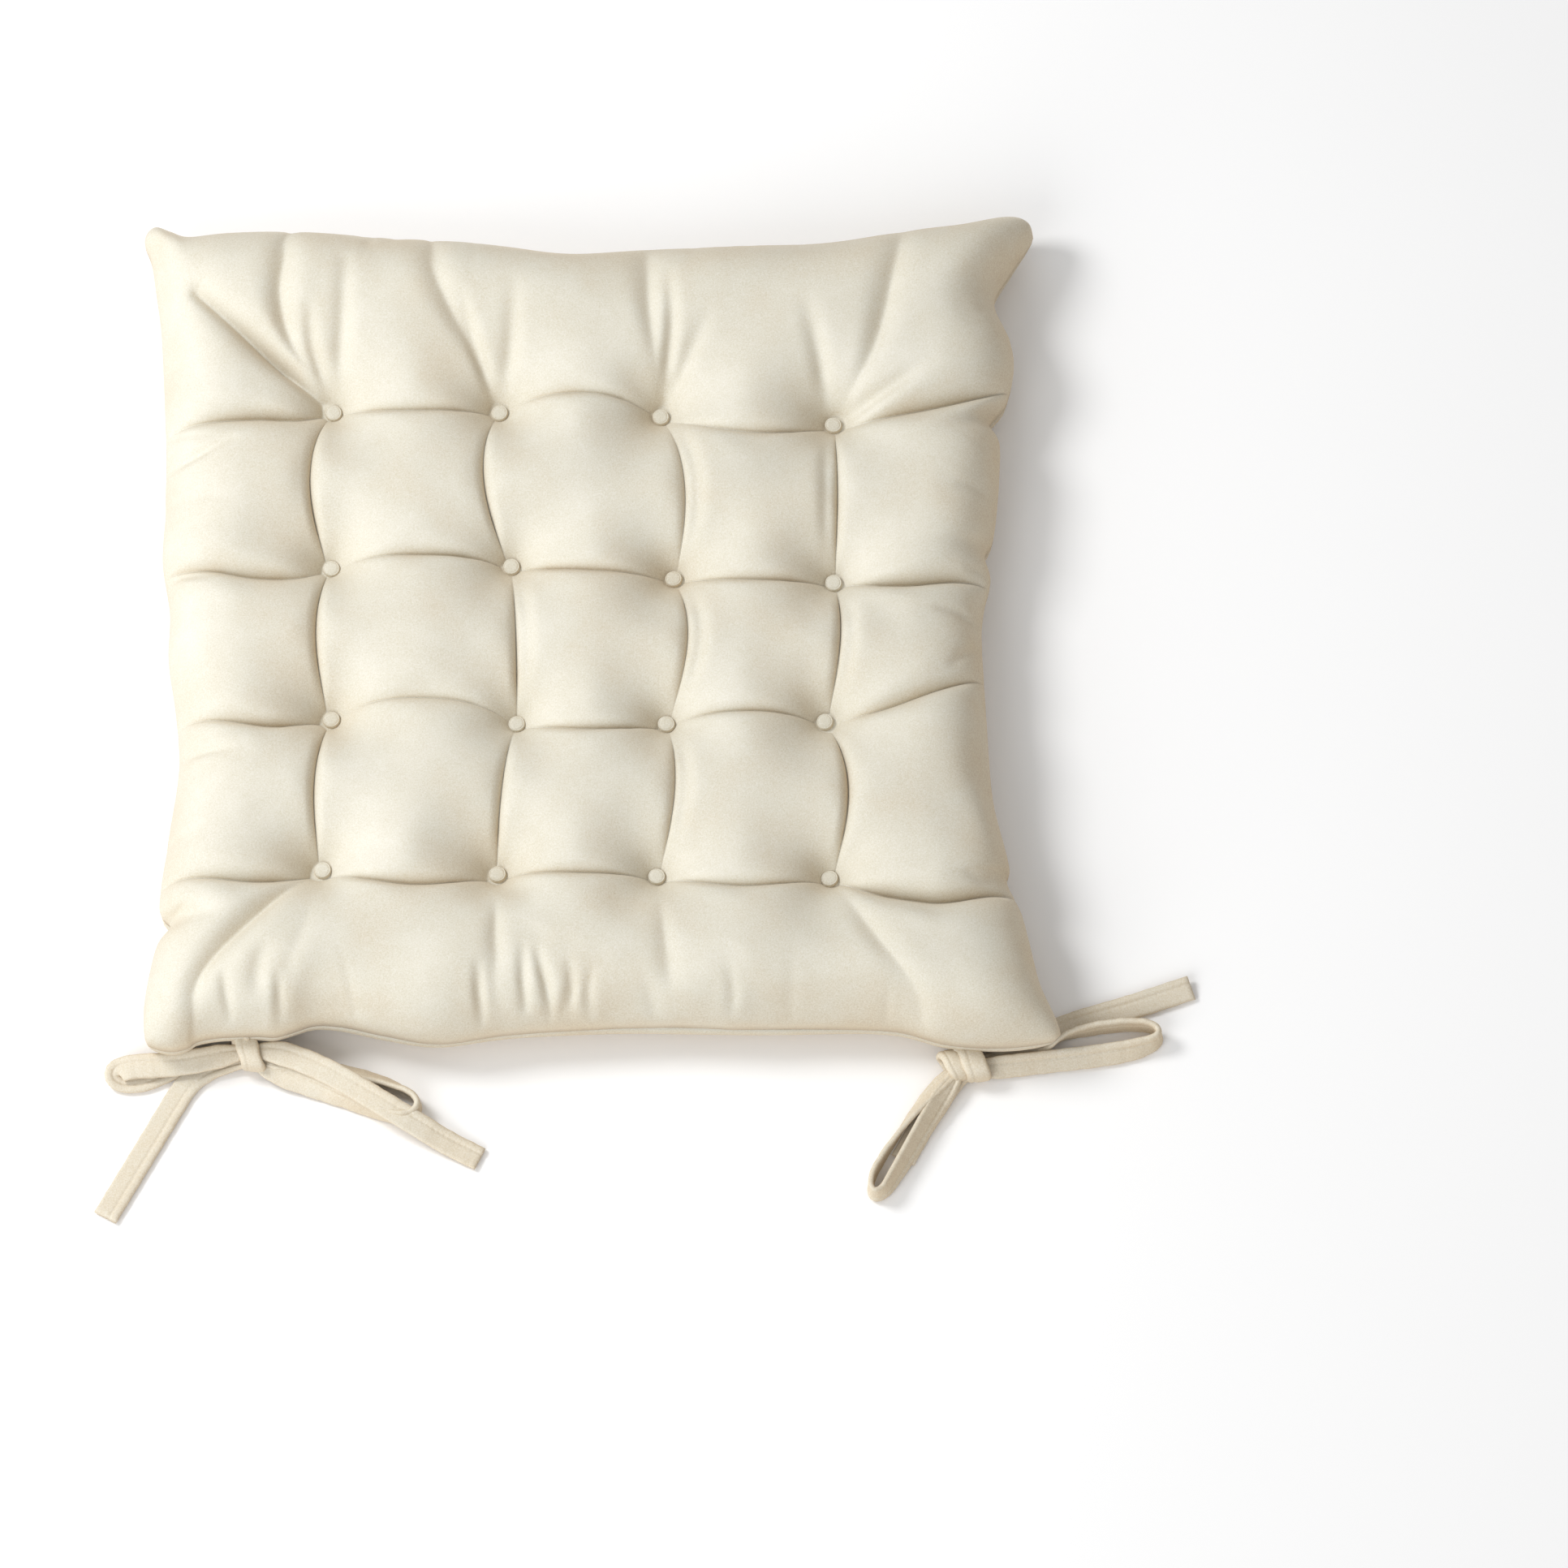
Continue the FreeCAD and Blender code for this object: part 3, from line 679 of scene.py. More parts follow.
def colour_ramp(nodes, links, factor, stops):
    ramp = nodes.new("ShaderNodeValToRGB")
    ramp.color_ramp.elements[0].position = stops[0][0]
    ramp.color_ramp.elements[0].color = (*stops[0][1], 1)
    ramp.color_ramp.elements[1].position = stops[-1][0]
    ramp.color_ramp.elements[1].color = (*stops[-1][1], 1)
    for position, colour in stops[1:-1]:
        ramp.color_ramp.elements.new(position).color = (*colour, 1)
    links.new(factor, ramp.inputs["Fac"])
    return ramp.outputs["Color"]


def shade(colour, factor):
    return tuple(min(1.0, channel * factor) for channel in colour)


def add_grain(material, coordinates, colour, scale, contrast, depth):
    """Fine grain over a colour, and as relief."""
    nodes = material.node_tree.nodes
    links = material.node_tree.links
    shader = nodes["Principled BSDF"]
    grain = noise(nodes, links, coordinates, scale, 2.5, 0.75)
    grained = nodes.new("ShaderNodeMix")
    grained.data_type = "RGBA"
    grained.blend_type = "OVERLAY"
    grained.inputs["Factor"].default_value = contrast
    links.new(colour, grained.inputs["A"])
    links.new(grain, grained.inputs["B"])
    links.new(grained.outputs["Result"], shader.inputs["Base Color"])
    bump = nodes.new("ShaderNodeBump")
    bump.inputs["Strength"].default_value = 0.6
    bump.inputs["Distance"].default_value = depth
    links.new(grain, bump.inputs["Height"])
    links.new(bump.outputs["Normal"], shader.inputs["Normal"])


def mottled(name, base, patch_scale, contrast, grain_scale, grain_contrast, grain_depth, rough):
    """A fibrous surface: slow mottling and fine grain in the colour, the grain in the relief."""
    material, nodes, links, shader = new_material(name)
    coordinates = nodes.new("ShaderNodeTexCoord").outputs["Object"]
    patches = noise(nodes, links, coordinates, patch_scale, 4.0, 0.62)
    colour = colour_ramp(nodes, links, patches, [
        (0.33, shade(base, 1 - contrast)), (0.5, base), (0.68, shade(base, 1 + contrast * 0.5))])
    add_grain(material, coordinates, colour, grain_scale, grain_contrast, grain_depth)
    shader.inputs["Roughness"].default_value = rough
    return material, shader


PAINTED_LIGHT_SIDE = (-0.20, -0.08, 0.40)    # side from which the painted light falls: faces turned to it are painted lighter, faces turned away get painted shade
PATCH_SCALE = 30.0
PATCH_CONTRAST = 0.55
PILE_GRAIN_SCALE = 1500.0
PILE_GRAIN_CONTRAST = 0.48
PILE_GRAIN_DEPTH = 0.00014
SHEEN_TINT = (1.0, 0.965, 0.89, 1)


def velvet(name, shaded, level, lit, sheen):
    """Short-pile velvet with painted light and shade: lighter where the surface faces the painted
    light's side, warmer and darker as painted shade where it faces away, with grain and patches.
    """
    material, nodes, links, shader = new_material(name)
    coordinates = nodes.new("ShaderNodeTexCoord")
    # lean here is how squarely the surface faces the painted light's side, not a lean of the pile
    lean = nodes.new("ShaderNodeVectorMath")
    lean.operation = "DOT_PRODUCT"
    lean.inputs[1].default_value = PAINTED_LIGHT_SIDE
    links.new(coordinates.outputs["Normal"], lean.inputs[0])
    patches = noise(nodes, links, coordinates.outputs["Object"], PATCH_SCALE, 5.0, 0.60)
    # random patches of tone added to the painted light and shade
    patches_and_painted_light = nodes.new("ShaderNodeMath")
    patches_and_painted_light.operation = "MULTIPLY_ADD"
    patches_and_painted_light.inputs[1].default_value = PATCH_CONTRAST
    links.new(patches, patches_and_painted_light.inputs[0])
    links.new(lean.outputs["Value"], patches_and_painted_light.inputs[2])
    # ramp: painted shade (shaded) on faces turned away, the velvet's own colour (level) on flat
    # ones, painted light (lit) on faces turned to the light's side
    colour = colour_ramp(nodes, links, patches_and_painted_light.outputs["Value"],
                         [(0.05, shaded), (0.67, level), (0.87, lit)])
    add_grain(material, coordinates.outputs["Object"], colour, PILE_GRAIN_SCALE,
              PILE_GRAIN_CONTRAST, PILE_GRAIN_DEPTH)
    shader.inputs["Roughness"].default_value = 0.95
    shader.inputs["Specular IOR Level"].default_value = 0.12
    shader.inputs["Sheen Weight"].default_value = sheen
    shader.inputs["Sheen Roughness"].default_value = 0.42
    shader.inputs["Sheen Tint"].default_value = SHEEN_TINT
    return material


# SHADED_PILE is painted shade and LIT_PILE painted light; LEVEL_PILE is the velvet's own colour
SHADED_PILE = (0.597, 0.470, 0.308)
LEVEL_PILE = (0.672, 0.639, 0.541)
LIT_PILE = (0.736, 0.709, 0.624)
VELVET = velvet("ivory velvet", SHADED_PILE, LEVEL_PILE, LIT_PILE, 0.30)
STRAP_PILE = (0.690, 0.625, 0.505)
# the straps and buttons take the same painted shade and painted light; for the straps the pad's
# level colour serves as painted light
STRAP_VELVET = velvet("strap velvet", shade(SHADED_PILE, 1.05), STRAP_PILE, LEVEL_PILE, 0.24)
BUTTON_VELVET = velvet("button velvet", SHADED_PILE, shade(LEVEL_PILE, 0.97), LIT_PILE, 0.25)
FIBRE = mottled("polyester fibre", (0.86, 0.86, 0.83), 60.0, 0.05, 900.0, 0.35, 0.0004, 0.95)[0]
THREAD = mottled("cream thread", (0.56, 0.48, 0.34), 300.0, 0.10, 4000.0, 0.30, 0.00008, 0.8)[0]
PLASTIC = mottled("moulded plastic", (0.74, 0.74, 0.71), 90.0, 0.02, 2500.0, 0.05, 0.00001, 0.42)[0]
WIRE, WIRE_SHADER = mottled(
    "drawn wire", (0.56, 0.56, 0.56), 200.0, 0.06, 3000.0, 0.15, 0.00001, 0.32)
WIRE_SHADER.inputs["Metallic"].default_value = 1.0

CARRIED_OVER = {"button_shells": PLASTIC, "button_back_plates": PLASTIC, "button_wire_loops": WIRE,
                "tuft_threads": THREAD, "tuft_knots": THREAD, "tie_bar_tacks": THREAD}
for node, material in CARRIED_OVER.items():
    node_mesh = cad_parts[node].data
    node_mesh.materials.clear()
    node_mesh.materials.append(material)


# ---- camera ----
CAMERA_ELEVATION = 67
CAMERA_DISTANCE = 6.0
CAMERA_TARGET = (0.0837, -0.0772, 0.030)
VIEW_WIDTH = 0.701            # width of the view at the target


def add_camera():
    elevation = math.radians(CAMERA_ELEVATION)
    target = Vector(CAMERA_TARGET)
    camera = bpy.data.objects.new("camera", bpy.data.cameras.new("camera"))
    camera.data.sensor_width = 36.0
    camera.data.lens = camera.data.sensor_width * CAMERA_DISTANCE / VIEW_WIDTH
    camera.data.clip_end = 50.0
    direction = Vector((0, -math.cos(elevation), math.sin(elevation)))
    camera.location = target + direction * CAMERA_DISTANCE
    camera.rotation_euler = (math.pi / 2 - elevation, 0, 0)
    bpy.context.scene.collection.objects.link(camera)
    bpy.context.scene.camera = camera


add_camera()
bpy.context.scene.view_settings.view_transform = "Standard"


# ---- ties ----
STRAP_WIDTH = 0.0110          # as it is sewn; the pile stands a little proud of it
PILE = 0.0001
STRAP_THICKNESS = 0.0024
STITCH_LINE = -0.17           # place of the stitch line across the strap, in widths from its middle
STITCH_LENGTH = 0.0028
STRAP_STEP = 0.0008           # distance between the rings of a strap's mesh
CLEARANCE = 0.0002            # least height of a strap above what it lies on
UP = np.array([0.0, 0.0, 1.0])


def strap_section(width, thickness, stitch_depth):
    """Outline of a folded and stitched strap: across, then along its normal."""
    radius = thickness / 2
    half = width / 2 - radius
    across = np.linspace(-half, half, 17)
    line = STITCH_LINE * width
    dent = stitch_depth * np.exp(-((across - line) / 0.00055) ** 2)
    puff = 0.00022 * np.exp(-((across - (line - half) / 2) / (half * 0.35)) ** 2)
    face = radius + puff - dent
    turn = np.linspace(-math.pi / 2, math.pi / 2, 7)[1:-1]
    upper = np.stack([across, face], axis=1)
    right = np.stack([half + radius * np.cos(turn[::-1]), radius * np.sin(turn[::-1])], axis=1)
    lower = np.stack([across[::-1], -face[::-1]], axis=1)
    left = np.stack([-half - radius * np.cos(turn), radius * np.sin(turn)], axis=1)
    return np.vstack([upper, right, lower, left])


def route_line(name, route):
    """Points along the smooth line of a route."""
    curve = bpy.data.curves.new(name + "_route", "CURVE")
    curve.dimensions = "3D"
    spline = curve.splines.new("NURBS")
    spline.points.add(len(route) - 1)
    for point, place in zip(spline.points, route):
        point.co = (*place[:3], 1)
    spline.order_u = 3
    spline.use_endpoint_u = True
    spline.resolution_u = 24
    holder = bpy.data.objects.new(name + "_route", curve)
    mesh = bpy.data.meshes.new_from_object(holder)
    points = np.array([vertex.co[:] for vertex in mesh.vertices])
    bpy.data.objects.remove(holder)
    bpy.data.curves.remove(curve)
    bpy.data.meshes.remove(mesh)
    return points


def travelled(points):
    return np.concatenate([[0], np.cumsum(np.linalg.norm(np.diff(points, axis=0), axis=1))])


def strap_frames(points, leans):
    """Across and normal directions of a strap; a positive lean lowers its right-hand edge."""
    tangents = np.gradient(points, axis=0)
    tangents /= np.linalg.norm(tangents, axis=1)[:, None]
    across = np.cross(tangents[0], UP)
    across /= np.linalg.norm(across)
    sides = []
    for tangent, lean in zip(tangents, leans):
        carried = across - tangent * (across @ tangent)
        carried /= np.linalg.norm(carried)
        level = np.cross(tangent, UP)
        flatness = np.linalg.norm(level)
        level /= max(flatness, 1e-6)
        over = np.cross(level, tangent)
        wanted = level * math.cos(lean) - over * math.sin(lean)
        if wanted @ carried < 0:
            wanted = -wanted
        trust = np.clip((flatness - 0.25) / 0.4, 0, 1) * 0.5
        across = wanted * trust + carried * (1 - trust)
        across -= tangent * (across @ tangent)
        across /= np.linalg.norm(across)
        sides.append(across)
    sides = np.array(sides)
    return sides, np.cross(sides, tangents)


def build_strap(name, exit_point, route, replaced):
    """One strap: sewn-in end, loop and tail in one piece."""
    route = np.array(route, float)
    route[:, :3] *= 0.001
    line = route_line(name, route)
    distance = travelled(line)
    total = distance[-1]
    marks = travelled(route[:, :3])
    marks *= total / marks[-1]
    steps = np.linspace(0, total, int(total / STRAP_STEP))
    points = np.stack([np.interp(steps, distance, line[:, axis]) for axis in range(3)], axis=1)
    leans = np.radians(np.interp(steps, marks, route[:, 3]))
    widths = np.interp(steps, marks, route[:, 4])
    sides, normals = strap_frames(points, leans)
    rings = []
    for step, point, side, normal, share in zip(steps, points, sides, normals, widths):
        to_end = total - step
        wave = math.sin(step * 610 + exit_point[0] * 90) + 0.6 * math.sin(step * 1270 + 2.0)
        width = (STRAP_WIDTH + 2 * PILE) * share * (1 + 0.012 * wave)
        thickness = (STRAP_THICKNESS * (1 + 0.35 * (1 - share))
                     * (0.62 + 0.38 * min(1, to_end / 0.0016)))
        stitch = 0.00048 + 0.00016 * math.cos(step * 2 * math.pi / STITCH_LENGTH)
        section = strap_section(width, thickness, stitch)
        lift = 0.00005 * wave
        ring = point + side * section[:, :1] + normal * (section[:, 1:] + lift)
        ring[:, 2] += max(0, CLEARANCE - ring[:, 2].min())
        rings.append(ring)
    rings = np.array(rings)
    piece = mesh_object(name, rings.reshape(-1, 3), tube_faces(len(rings), rings.shape[1], False))
    dress(piece, STRAP_VELVET, None, "strap_velvet", *replaced)
    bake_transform(piece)


# Routes in millimetres: x, y, z, lean in degrees, share of the full width.
LEFT_A_ROUTE = [
    (-156, -190, 17.2, 0, 1.0), (-156, -190.5, 12.0, 0, 0.9), (-155, -196.5, 8.5, 0, 0.6),
    (-149, -203.5, 6.0, 15, 0.7), (-139, -207.5, 5.2, 28, 1.0), (-127, -212.0, 4.9, 45, 1.0),
    (-112, -218.5, 4.9, 68, 1.0), (-98, -225.0, 5.1, 82, 1.0), (-87, -228.5, 5.3, 85, 1.0),
    (-79, -225.5, 5.3, 85, 1.0), (-79, -218.5, 5.2, 80, 1.0), (-88, -212.5, 5.0, 62, 1.0),
    (-102, -207.5, 4.8, 50, 1.0), (-120, -204.0, 4.8, 40, 1.0), (-137, -201.5, 5.2, 30, 0.9),
    (-149, -200.5, 5.6, 12, 0.6), (-157, -200.5, 4.6, 0, 0.6), (-165, -201.5, 2.6, 0, 0.8),
    (-174, -203.5, 1.6, 0, 1.0), (-182, -210.0, 1.3, 0, 1.0), (-188, -220.5, 1.3, 0, 1.0),
    (-199, -240.8, 1.3, 0, 1.0), (-217.2, -273.8, 1.3, 0, 1.0)]
LEFT_B_ROUTE = [
    (-157, -190, 17.2, 0, 1.0), (-157.5, -190.2, 11.0, 0, 0.9), (-159, -196.5, 7.5, 0, 0.6),
    (-166, -197.5, 3.0, 0, 0.7), (-176, -198.5, 1.8, 0, 1.0), (-187, -201.5, 1.5, 0, 1.0),
    (-196, -206.4, 1.4, 0, 1.0), (-205, -209.4, 1.4, 0, 1.0), (-212.5, -208.4, 1.8, 0, 1.0),
    (-214.2, -205.8, 4.6, 4, 1.0), (-207, -203.9, 6.9, 14, 1.0), (-194, -203.6, 7.2, 20, 1.0),
    (-181, -202.2, 7.4, 20, 1.0), (-168, -199.6, 8.0, 14, 0.95), (-158, -197.8, 8.2, 4, 0.6),
    (-151, -198.0, 9.8, 2, 0.7), (-142, -198.5, 11.0, 6, 1.0), (-131, -202.3, 11.3, 10, 1.0),
    (-119, -208.0, 11.3, 12, 1.0), (-105, -216.5, 11.2, 12, 1.0), (-91, -225.2, 10.4, 10, 1.0),
    (-77, -233.0, 7.0, 6, 1.0), (-65, -239.4, 2.4, 2, 1.0), (-51.3, -246.0, 1.4, 0, 1.0)]
RIGHT_A_ROUTE = [
    (163, -192, 17.2, 0, 1.0), (163, -193.5, 12.0, 0, 0.9), (163.5, -200.0, 8.5, 0, 0.6),
    (170, -205.0, 6.0, 30, 0.8), (181, -203.4, 5.0, 44, 1.0), (193, -201.8, 4.8, 47, 1.0),
    (206, -200.2, 4.8, 48, 1.0), (219, -198.6, 4.8, 48, 1.0), (231, -196.8, 4.8, 50, 1.0),
    (241, -194.8, 4.9, 58, 1.0), (250, -191.5, 5.2, 78, 1.0), (251.5, -186.6, 5.4, 90, 1.0),
    (245.5, -183.6, 5.4, 94, 1.0), (235, -183.4, 5.4, 95, 1.0), (222, -185.2, 5.4, 94, 1.0),
    (211, -188.0, 5.0, 82, 1.0), (201, -191.6, 2.8, 32, 1.0), (189, -196.0, 2.0, 8, 1.0),
    (177, -200.6, 3.2, 8, 0.7), (167, -204.0, 4.0, 0, 0.6), (159, -210.0, 2.2, 0, 0.8),
    (152, -219.0, 1.3, 0, 1.0), (145, -230.0, 1.3, 0, 1.0), (136.5, -246.5, 1.3, 0, 1.0)]
RIGHT_B_ROUTE = [
    (164, -192, 17.2, 0, 1.0), (164, -193.2, 11.0, 0, 0.9), (163, -200.0, 7.5, 0, 0.6),
    (159.5, -209.5, 6.6, -18, 0.7), (153.4, -219.5, 6.8, -40, 1.0), (146.2, -232.0, 6.7, -52, 1.0),
    (139.0, -245.0, 6.3, -60, 1.0), (132.6, -256.0, 5.6, -68, 1.0), (127.6, -264.0, 5.4, -80, 1.0),
    (122.6, -264.8, 5.4, -88, 1.0), (121.8, -258.0, 5.4, -92, 1.0), (126.6, -248.0, 5.5, -90, 1.0),
    (134.0, -236.5, 6.2, -80, 1.0), (142.8, -224.0, 6.6, -62, 1.0), (152, -213.0, 6.6, -30, 0.8),
    (160, -205.5, 6.2, -8, 0.6), (168, -201.5, 4.2, 0, 0.6), (178, -199.5, 2.0, 0, 0.9),
    (189, -194.5, 1.3, 0, 1.0), (199, -187.6, 1.3, 0, 1.0), (211, -182.0, 1.5, 6, 1.0),
    (226, -177.6, 1.9, 12, 1.0), (243, -172.4, 2.0, 14, 1.0), (265.5, -164.2, 2.0, 14, 1.0)]


STRAPS = [
    ("tie_left", "a", (-0.156, -0.190, 0.0172), LEFT_A_ROUTE, 0.283),
    ("tie_left", "b", (-0.157, -0.190, 0.0172), LEFT_B_ROUTE, 0.249),
    ("tie_right", "a", (0.163, -0.192, 0.0172), RIGHT_A_ROUTE, 0.247),
    ("tie_right", "b", (0.164, -0.192, 0.0172), RIGHT_B_ROUTE, 0.276),
]
for tie, strap, exit_point, route, length in STRAPS:
    replaced = ["%s_%s_%s" % (tie, strap, part) for part in ("loop", "tail", "sewn_end")]
    build_strap("%s_strap_%s" % (tie, strap), exit_point, route, replaced)


WRAP_SQUARENESS = 0.75        # 1 for an oval band, less for a boxier one


def build_wrap(name, centre, half_depth, half_height, width, skew, heading):
    """Band of strap wound once round a bow's crossing."""
    rings = []
    along_bow = np.array([math.cos(math.radians(heading)), math.sin(math.radians(heading)), 0])
    back = np.cross(UP, along_bow)
    for turn in np.linspace(0, 2 * math.pi, 96, endpoint=False):
        outward = back * math.cos(turn) / half_depth + UP * math.sin(turn) / half_height
        outward /= np.linalg.norm(outward)
        deep = math.copysign(abs(math.cos(turn)) ** WRAP_SQUARENESS, math.cos(turn))
        high = math.copysign(abs(math.sin(turn)) ** WRAP_SQUARENESS, math.sin(turn))
        middle = (np.array(centre) + back * half_depth * deep + UP * half_height * high
                  - along_bow * skew * math.cos(turn))
        full = width * (1 + 0.03 * math.sin(3 * turn + centre[0] * 50))
        section = strap_section(full, STRAP_THICKNESS * 1.15, 0.00028)
        bend = -0.0006 * (np.abs(section[:, :1]) / (full / 2)) ** 2.2
        rings.append(middle + along_bow * section[:, :1] + outward * (section[:, 1:] + bend))
    rings = np.array(rings)
    return mesh_object(name, rings.reshape(-1, 3), tube_faces(len(rings), rings.shape[1], True))


WRAPS = [
    ("tie_left", (-0.1550, -0.1972, 0.0080), 0.0072, 0.0056, 0.0108, 0.0036, -8),
    ("tie_right", (0.1678, -0.2030, 0.0071), 0.0066, 0.0054, 0.0112, 0.0022, 4),
]
for tie, centre, half_depth, half_height, width, skew, heading in WRAPS:
    wrap = build_wrap(tie + "_knot_wrap", centre, half_depth, half_height, width, skew, heading)
    dress(wrap, STRAP_VELVET, tie, "strap_velvet", tie + "_knot")
second_wrap = build_wrap("tie_right_knot_under_wrap", (0.1592, -0.2034, 0.0062), 0.0062, 0.0046,
                         0.0090, 0.0020, 14)
dress(second_wrap, STRAP_VELVET, "tie_right", "strap_velvet")


# ---- pad ----
def cover_panel(name, x, y, z, faces, thickness):
    """One cover panel with the cloth's thickness inwards."""
    vertices = np.stack([x, y, z], axis=-1).reshape(-1, 3)
    panel = mesh_object(name, vertices, faces)
    solidify = panel.modifiers.new("cloth thickness", "SOLIDIFY")
    solidify.thickness = thickness
    solidify.offset = -1
    return panel


FILLING_INSET = 0.0040        # gap between the top cover's outside and the fibre
FILLING_SHRINK = 0.990
FILLING_STEP = 4              # every fourth point of the cover is enough for the fibre
SEAM_ALLOWANCE_SHARE = 0.989  # the stitches' line as a share of the outline
THREAD_RADIUS = 0.00025
THREAD_STEP = 0.0010
THREAD_WAVE = 0.0005
UNDER_SQUARES_PER_PATCH = 32
TOP_CLOTH = 0.0012
UNDER_CLOTH = 0.0010


def settled_top():
    """Points of the top cover: its drawn-down shape, settled by the cloth simulation."""
    x, y = pillow_grid(SQUARES_PER_PATCH)
    z = top_height(x, y, seam_distances(x, y))
    top = np.stack([x, y, z], axis=-1)
    return top + settled_moves(SQUARES_PER_PATCH, x, y)


def build_covers(top):
    x, y = bulge(top[..., 0], top[..., 1], top[..., 2], SEAM_Z + 0.008, 0.007, 0.006)
    upper = cover_panel("top_cover_velvet", x, y, top[..., 2], valley_faces(top[..., 2]), TOP_CLOTH)
    dress(upper, VELVET, "pad", "velvet", "top_cover")
    x, y = pillow_grid(UNDER_SQUARES_PER_PATCH)
    z = bottom_height(x, y, seam_distances(x, y))
    x, y = bulge(x, y, z, SEAM_Z - 0.006, 0.004, 0.0045)
    under = cover_panel("bottom_cover_velvet", x, y, z, grid_faces(*z.shape, flipped=True),
                        UNDER_CLOTH)
    dress(under, VELVET, "pad", "velvet", "bottom_cover")


def build_filling(top):
    """One block of fibre that fills the covers, a little inside them."""
    lowest = top[..., 2]
    for shift in range(1, FILLING_STEP + 1):
        for axis in (0, 1):
            for step in (shift, -shift):
                lowest = np.minimum(lowest, np.roll(lowest, step, axis=axis))
    x, y = top[::FILLING_STEP, ::FILLING_STEP, 0], top[::FILLING_STEP, ::FILLING_STEP, 1]
    upper = lowest[::FILLING_STEP, ::FILLING_STEP]
    shape = x.shape
    lower = np.minimum(bottom_height(x, y, seam_distances(x, y)), upper)
    room = np.clip((upper - lower) / FILLING_INSET - 2, 0, 1) * FILLING_INSET
    plan = np.stack([x, y], axis=-1) * FILLING_SHRINK
    above = np.dstack([plan, upper - room]).reshape(-1, 3)
    below = np.dstack([plan, lower + room * 0.6]).reshape(-1, 3)
    count = len(above)
    inner = np.zeros(shape, bool)
    inner[1:-1, 1:-1] = True
    inner = inner.ravel()
    below_index = np.arange(count)
    below_index[inner] = count + np.arange(inner.sum())
    faces = np.vstack([grid_faces(*shape), below_index[grid_faces(*shape, flipped=True)]])
    block = mesh_object("fibre_filling_block", np.vstack([above, below[inner]]), faces)
    dress(block, FIBRE, "pad", "fibre_filling", "filling")


def build_seam_thread():
    """Stitches all round that join the two covers, just inside the seam."""
    edges = (FRONT_EDGE, RIGHT_EDGE, BACK_EDGE, LEFT_EDGE)
    outline = np.vstack([smooth_line(edge)[:-1] for edge in edges])
    closed = np.vstack([outline, outline[:1]]) * SEAM_ALLOWANCE_SHARE
    length = travelled(closed)[-1]
    count = int(length / THREAD_STEP)
    middle = along(closed, np.arange(count) / count)
    forward = np.roll(middle, -1, axis=0) - np.roll(middle, 1, axis=0)
    forward /= np.linalg.norm(forward, axis=1)[:, None]
    rings = []
    for place, (centre, heading) in enumerate(zip(middle, forward)):
        level = SEAM_Z + THREAD_WAVE * math.sin(place * 2 * math.pi * THREAD_STEP / STITCH_LENGTH)
        turn = np.linspace(0, 2 * math.pi, 8, endpoint=False)
        outward = np.array([heading[1], -heading[0]])
        ring = np.zeros((8, 3))
        ring[:, :2] = centre + outward * (np.cos(turn) * THREAD_RADIUS)[:, None]
        ring[:, 2] = level + np.sin(turn) * THREAD_RADIUS
        rings.append(ring)
    piece = mesh_object("seam_stitches", np.vstack(rings), tube_faces(count, 8, True))
    dress(piece, THREAD, "pad", "thread", "seam_thread")


TOP = settled_top()
build_covers(TOP)
build_filling(TOP)
build_seam_thread()


# ---- buttons ----
# Outline of a cap from its middle over the rim to its foot: shares of its radius and its height.
BUTTON_PROFILE = [(0.0, 0.97), (0.35, 0.965), (0.60, 0.94), (0.72, 0.90), (0.78, 0.85),
                  (0.83, 0.87), (0.90, 0.84), (0.97, 0.66), (1.0, 0.42), (0.985, 0.18),
                  (0.93, 0.05), (0.80, 0.0), (0.0, 0.0)]
BUTTON_SHARE = 0.82           # radius of the drawn-in cap as a share of its node's
BUTTON_POINTS = 64


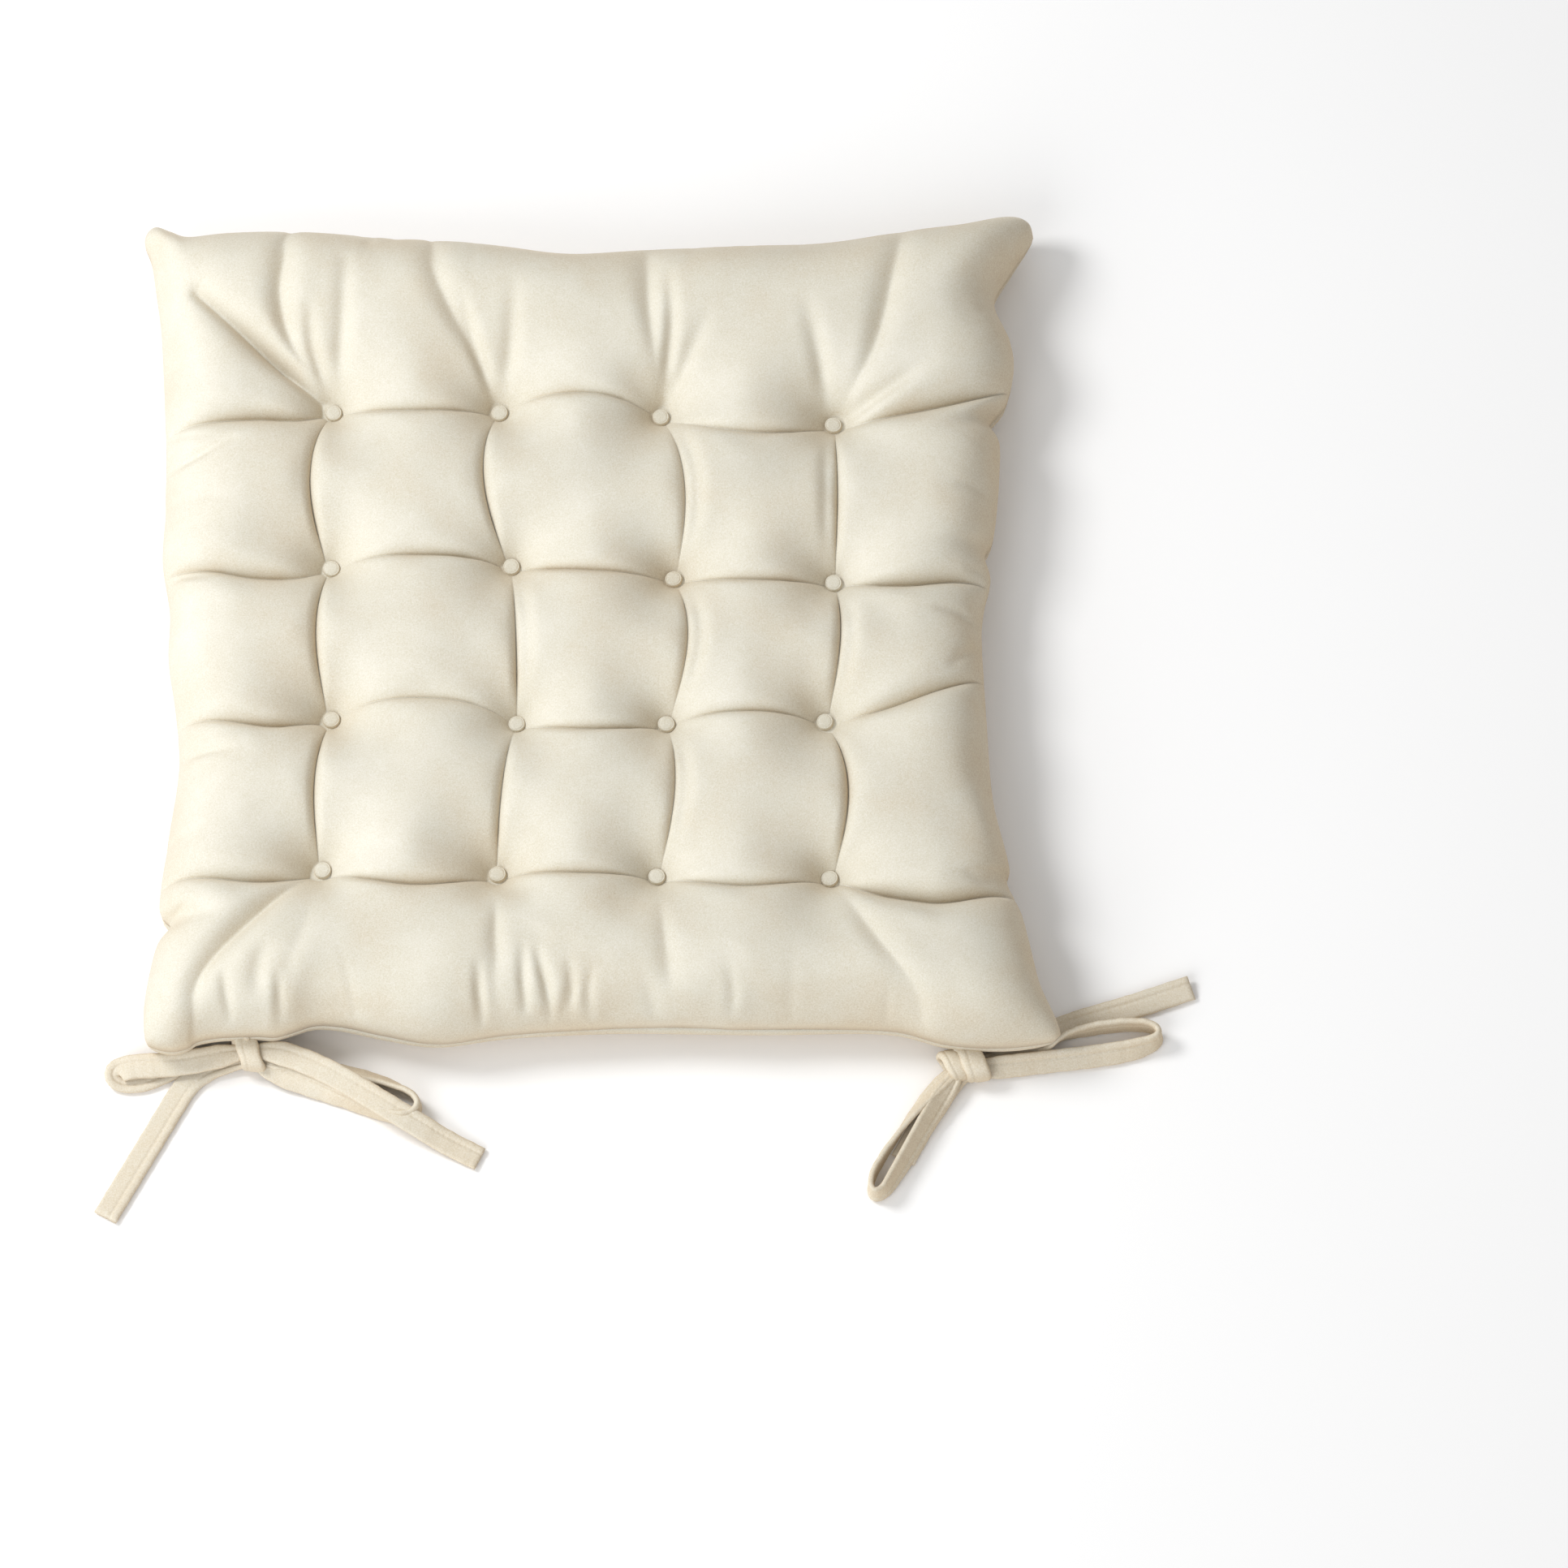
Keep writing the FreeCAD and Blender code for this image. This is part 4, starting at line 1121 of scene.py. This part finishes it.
def build_button(row, column):
    """Fabric-covered dome, gathered under its rim."""
    node = "button_r%dc%d" % (row, column)
    low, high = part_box(node)
    centre = BUTTONS[row - 1][column - 1]
    radius = (high.x - low.x) / 2 * BUTTON_SHARE
    height = high.z - low.z
    chance = np.random.default_rng(SEED + 10 * row + column)
    phase = chance.uniform(0, 2 * math.pi)
    slope_x, slope_y = chance.uniform(-0.07, 0.07, 2)
    profile = smooth_line(BUTTON_PROFILE, 3)
    turn = np.linspace(0, 2 * math.pi, BUTTON_POINTS, endpoint=False)
    rings = []
    for share, level in profile:
        near_rim = np.clip(share * 1.6 - 0.8, 0, 1)
        gather = 1 + 0.018 * np.sin(17 * turn + phase) * near_rim * (1 - level)
        oval = 1 + 0.02 * np.cos(2 * turn + phase)
        ring_radius = max(share, 1e-4) * radius * gather * oval
        x = ring_radius * np.cos(turn)
        y = ring_radius * np.sin(turn)
        z = low.z + level * height + (slope_x * x + slope_y * y) * 0.6
        rings.append(np.stack([centre[0] + x, centre[1] + y, z], axis=1))
    rings = np.array(rings)
    piece = mesh_object(node + "_velvet", rings.reshape(-1, 3),
                        tube_faces(len(rings), BUTTON_POINTS, False))
    dress(piece, BUTTON_VELVET, "pad", "velvet", node)


for row in range(1, 5):
    for column in range(1, 5):
        build_button(row, column)


# ---- floor and light ----
FLOOR_Z = -0.0004             # a hair below the pad's flat underside
WORLD_STRENGTH = 0.53


def add_floor():
    corners = [(-4, -4, FLOOR_Z), (4, -4, FLOOR_Z), (4, 4, FLOOR_Z), (-4, 4, FLOOR_Z)]
    floor = mesh_object("floor", corners, [(0, 1, 2, 3)])
    material, _, _, shader = new_material("pale floor")
    shader.inputs["Base Color"].default_value = (0.97, 0.97, 0.97, 1)
    shader.inputs["Roughness"].default_value = 0.9
    floor.data.materials.append(material)


def add_light(name, location, size, power):
    light = bpy.data.lights.new(name, "AREA")
    light.shape = "DISK"
    light.size = size
    light.energy = power
    lamp = bpy.data.objects.new(name, light)
    lamp.location = location
    lamp.rotation_euler = (-Vector(location)).to_track_quat("-Z", "Y").to_euler()
    bpy.context.scene.collection.objects.link(lamp)


def add_world():
    world = bpy.data.worlds.new("studio")
    world.use_nodes = True
    background = world.node_tree.nodes["Background"]
    background.inputs["Color"].default_value = (1, 1, 1, 1)
    background.inputs["Strength"].default_value = WORLD_STRENGTH
    bpy.context.scene.world = world


add_floor()
add_world()
add_light("key", (-0.92, 0.26, 1.15), 0.55, 12.6)
add_light("fill", (-1.3, -2.0, 1.5), 2.2, 35)
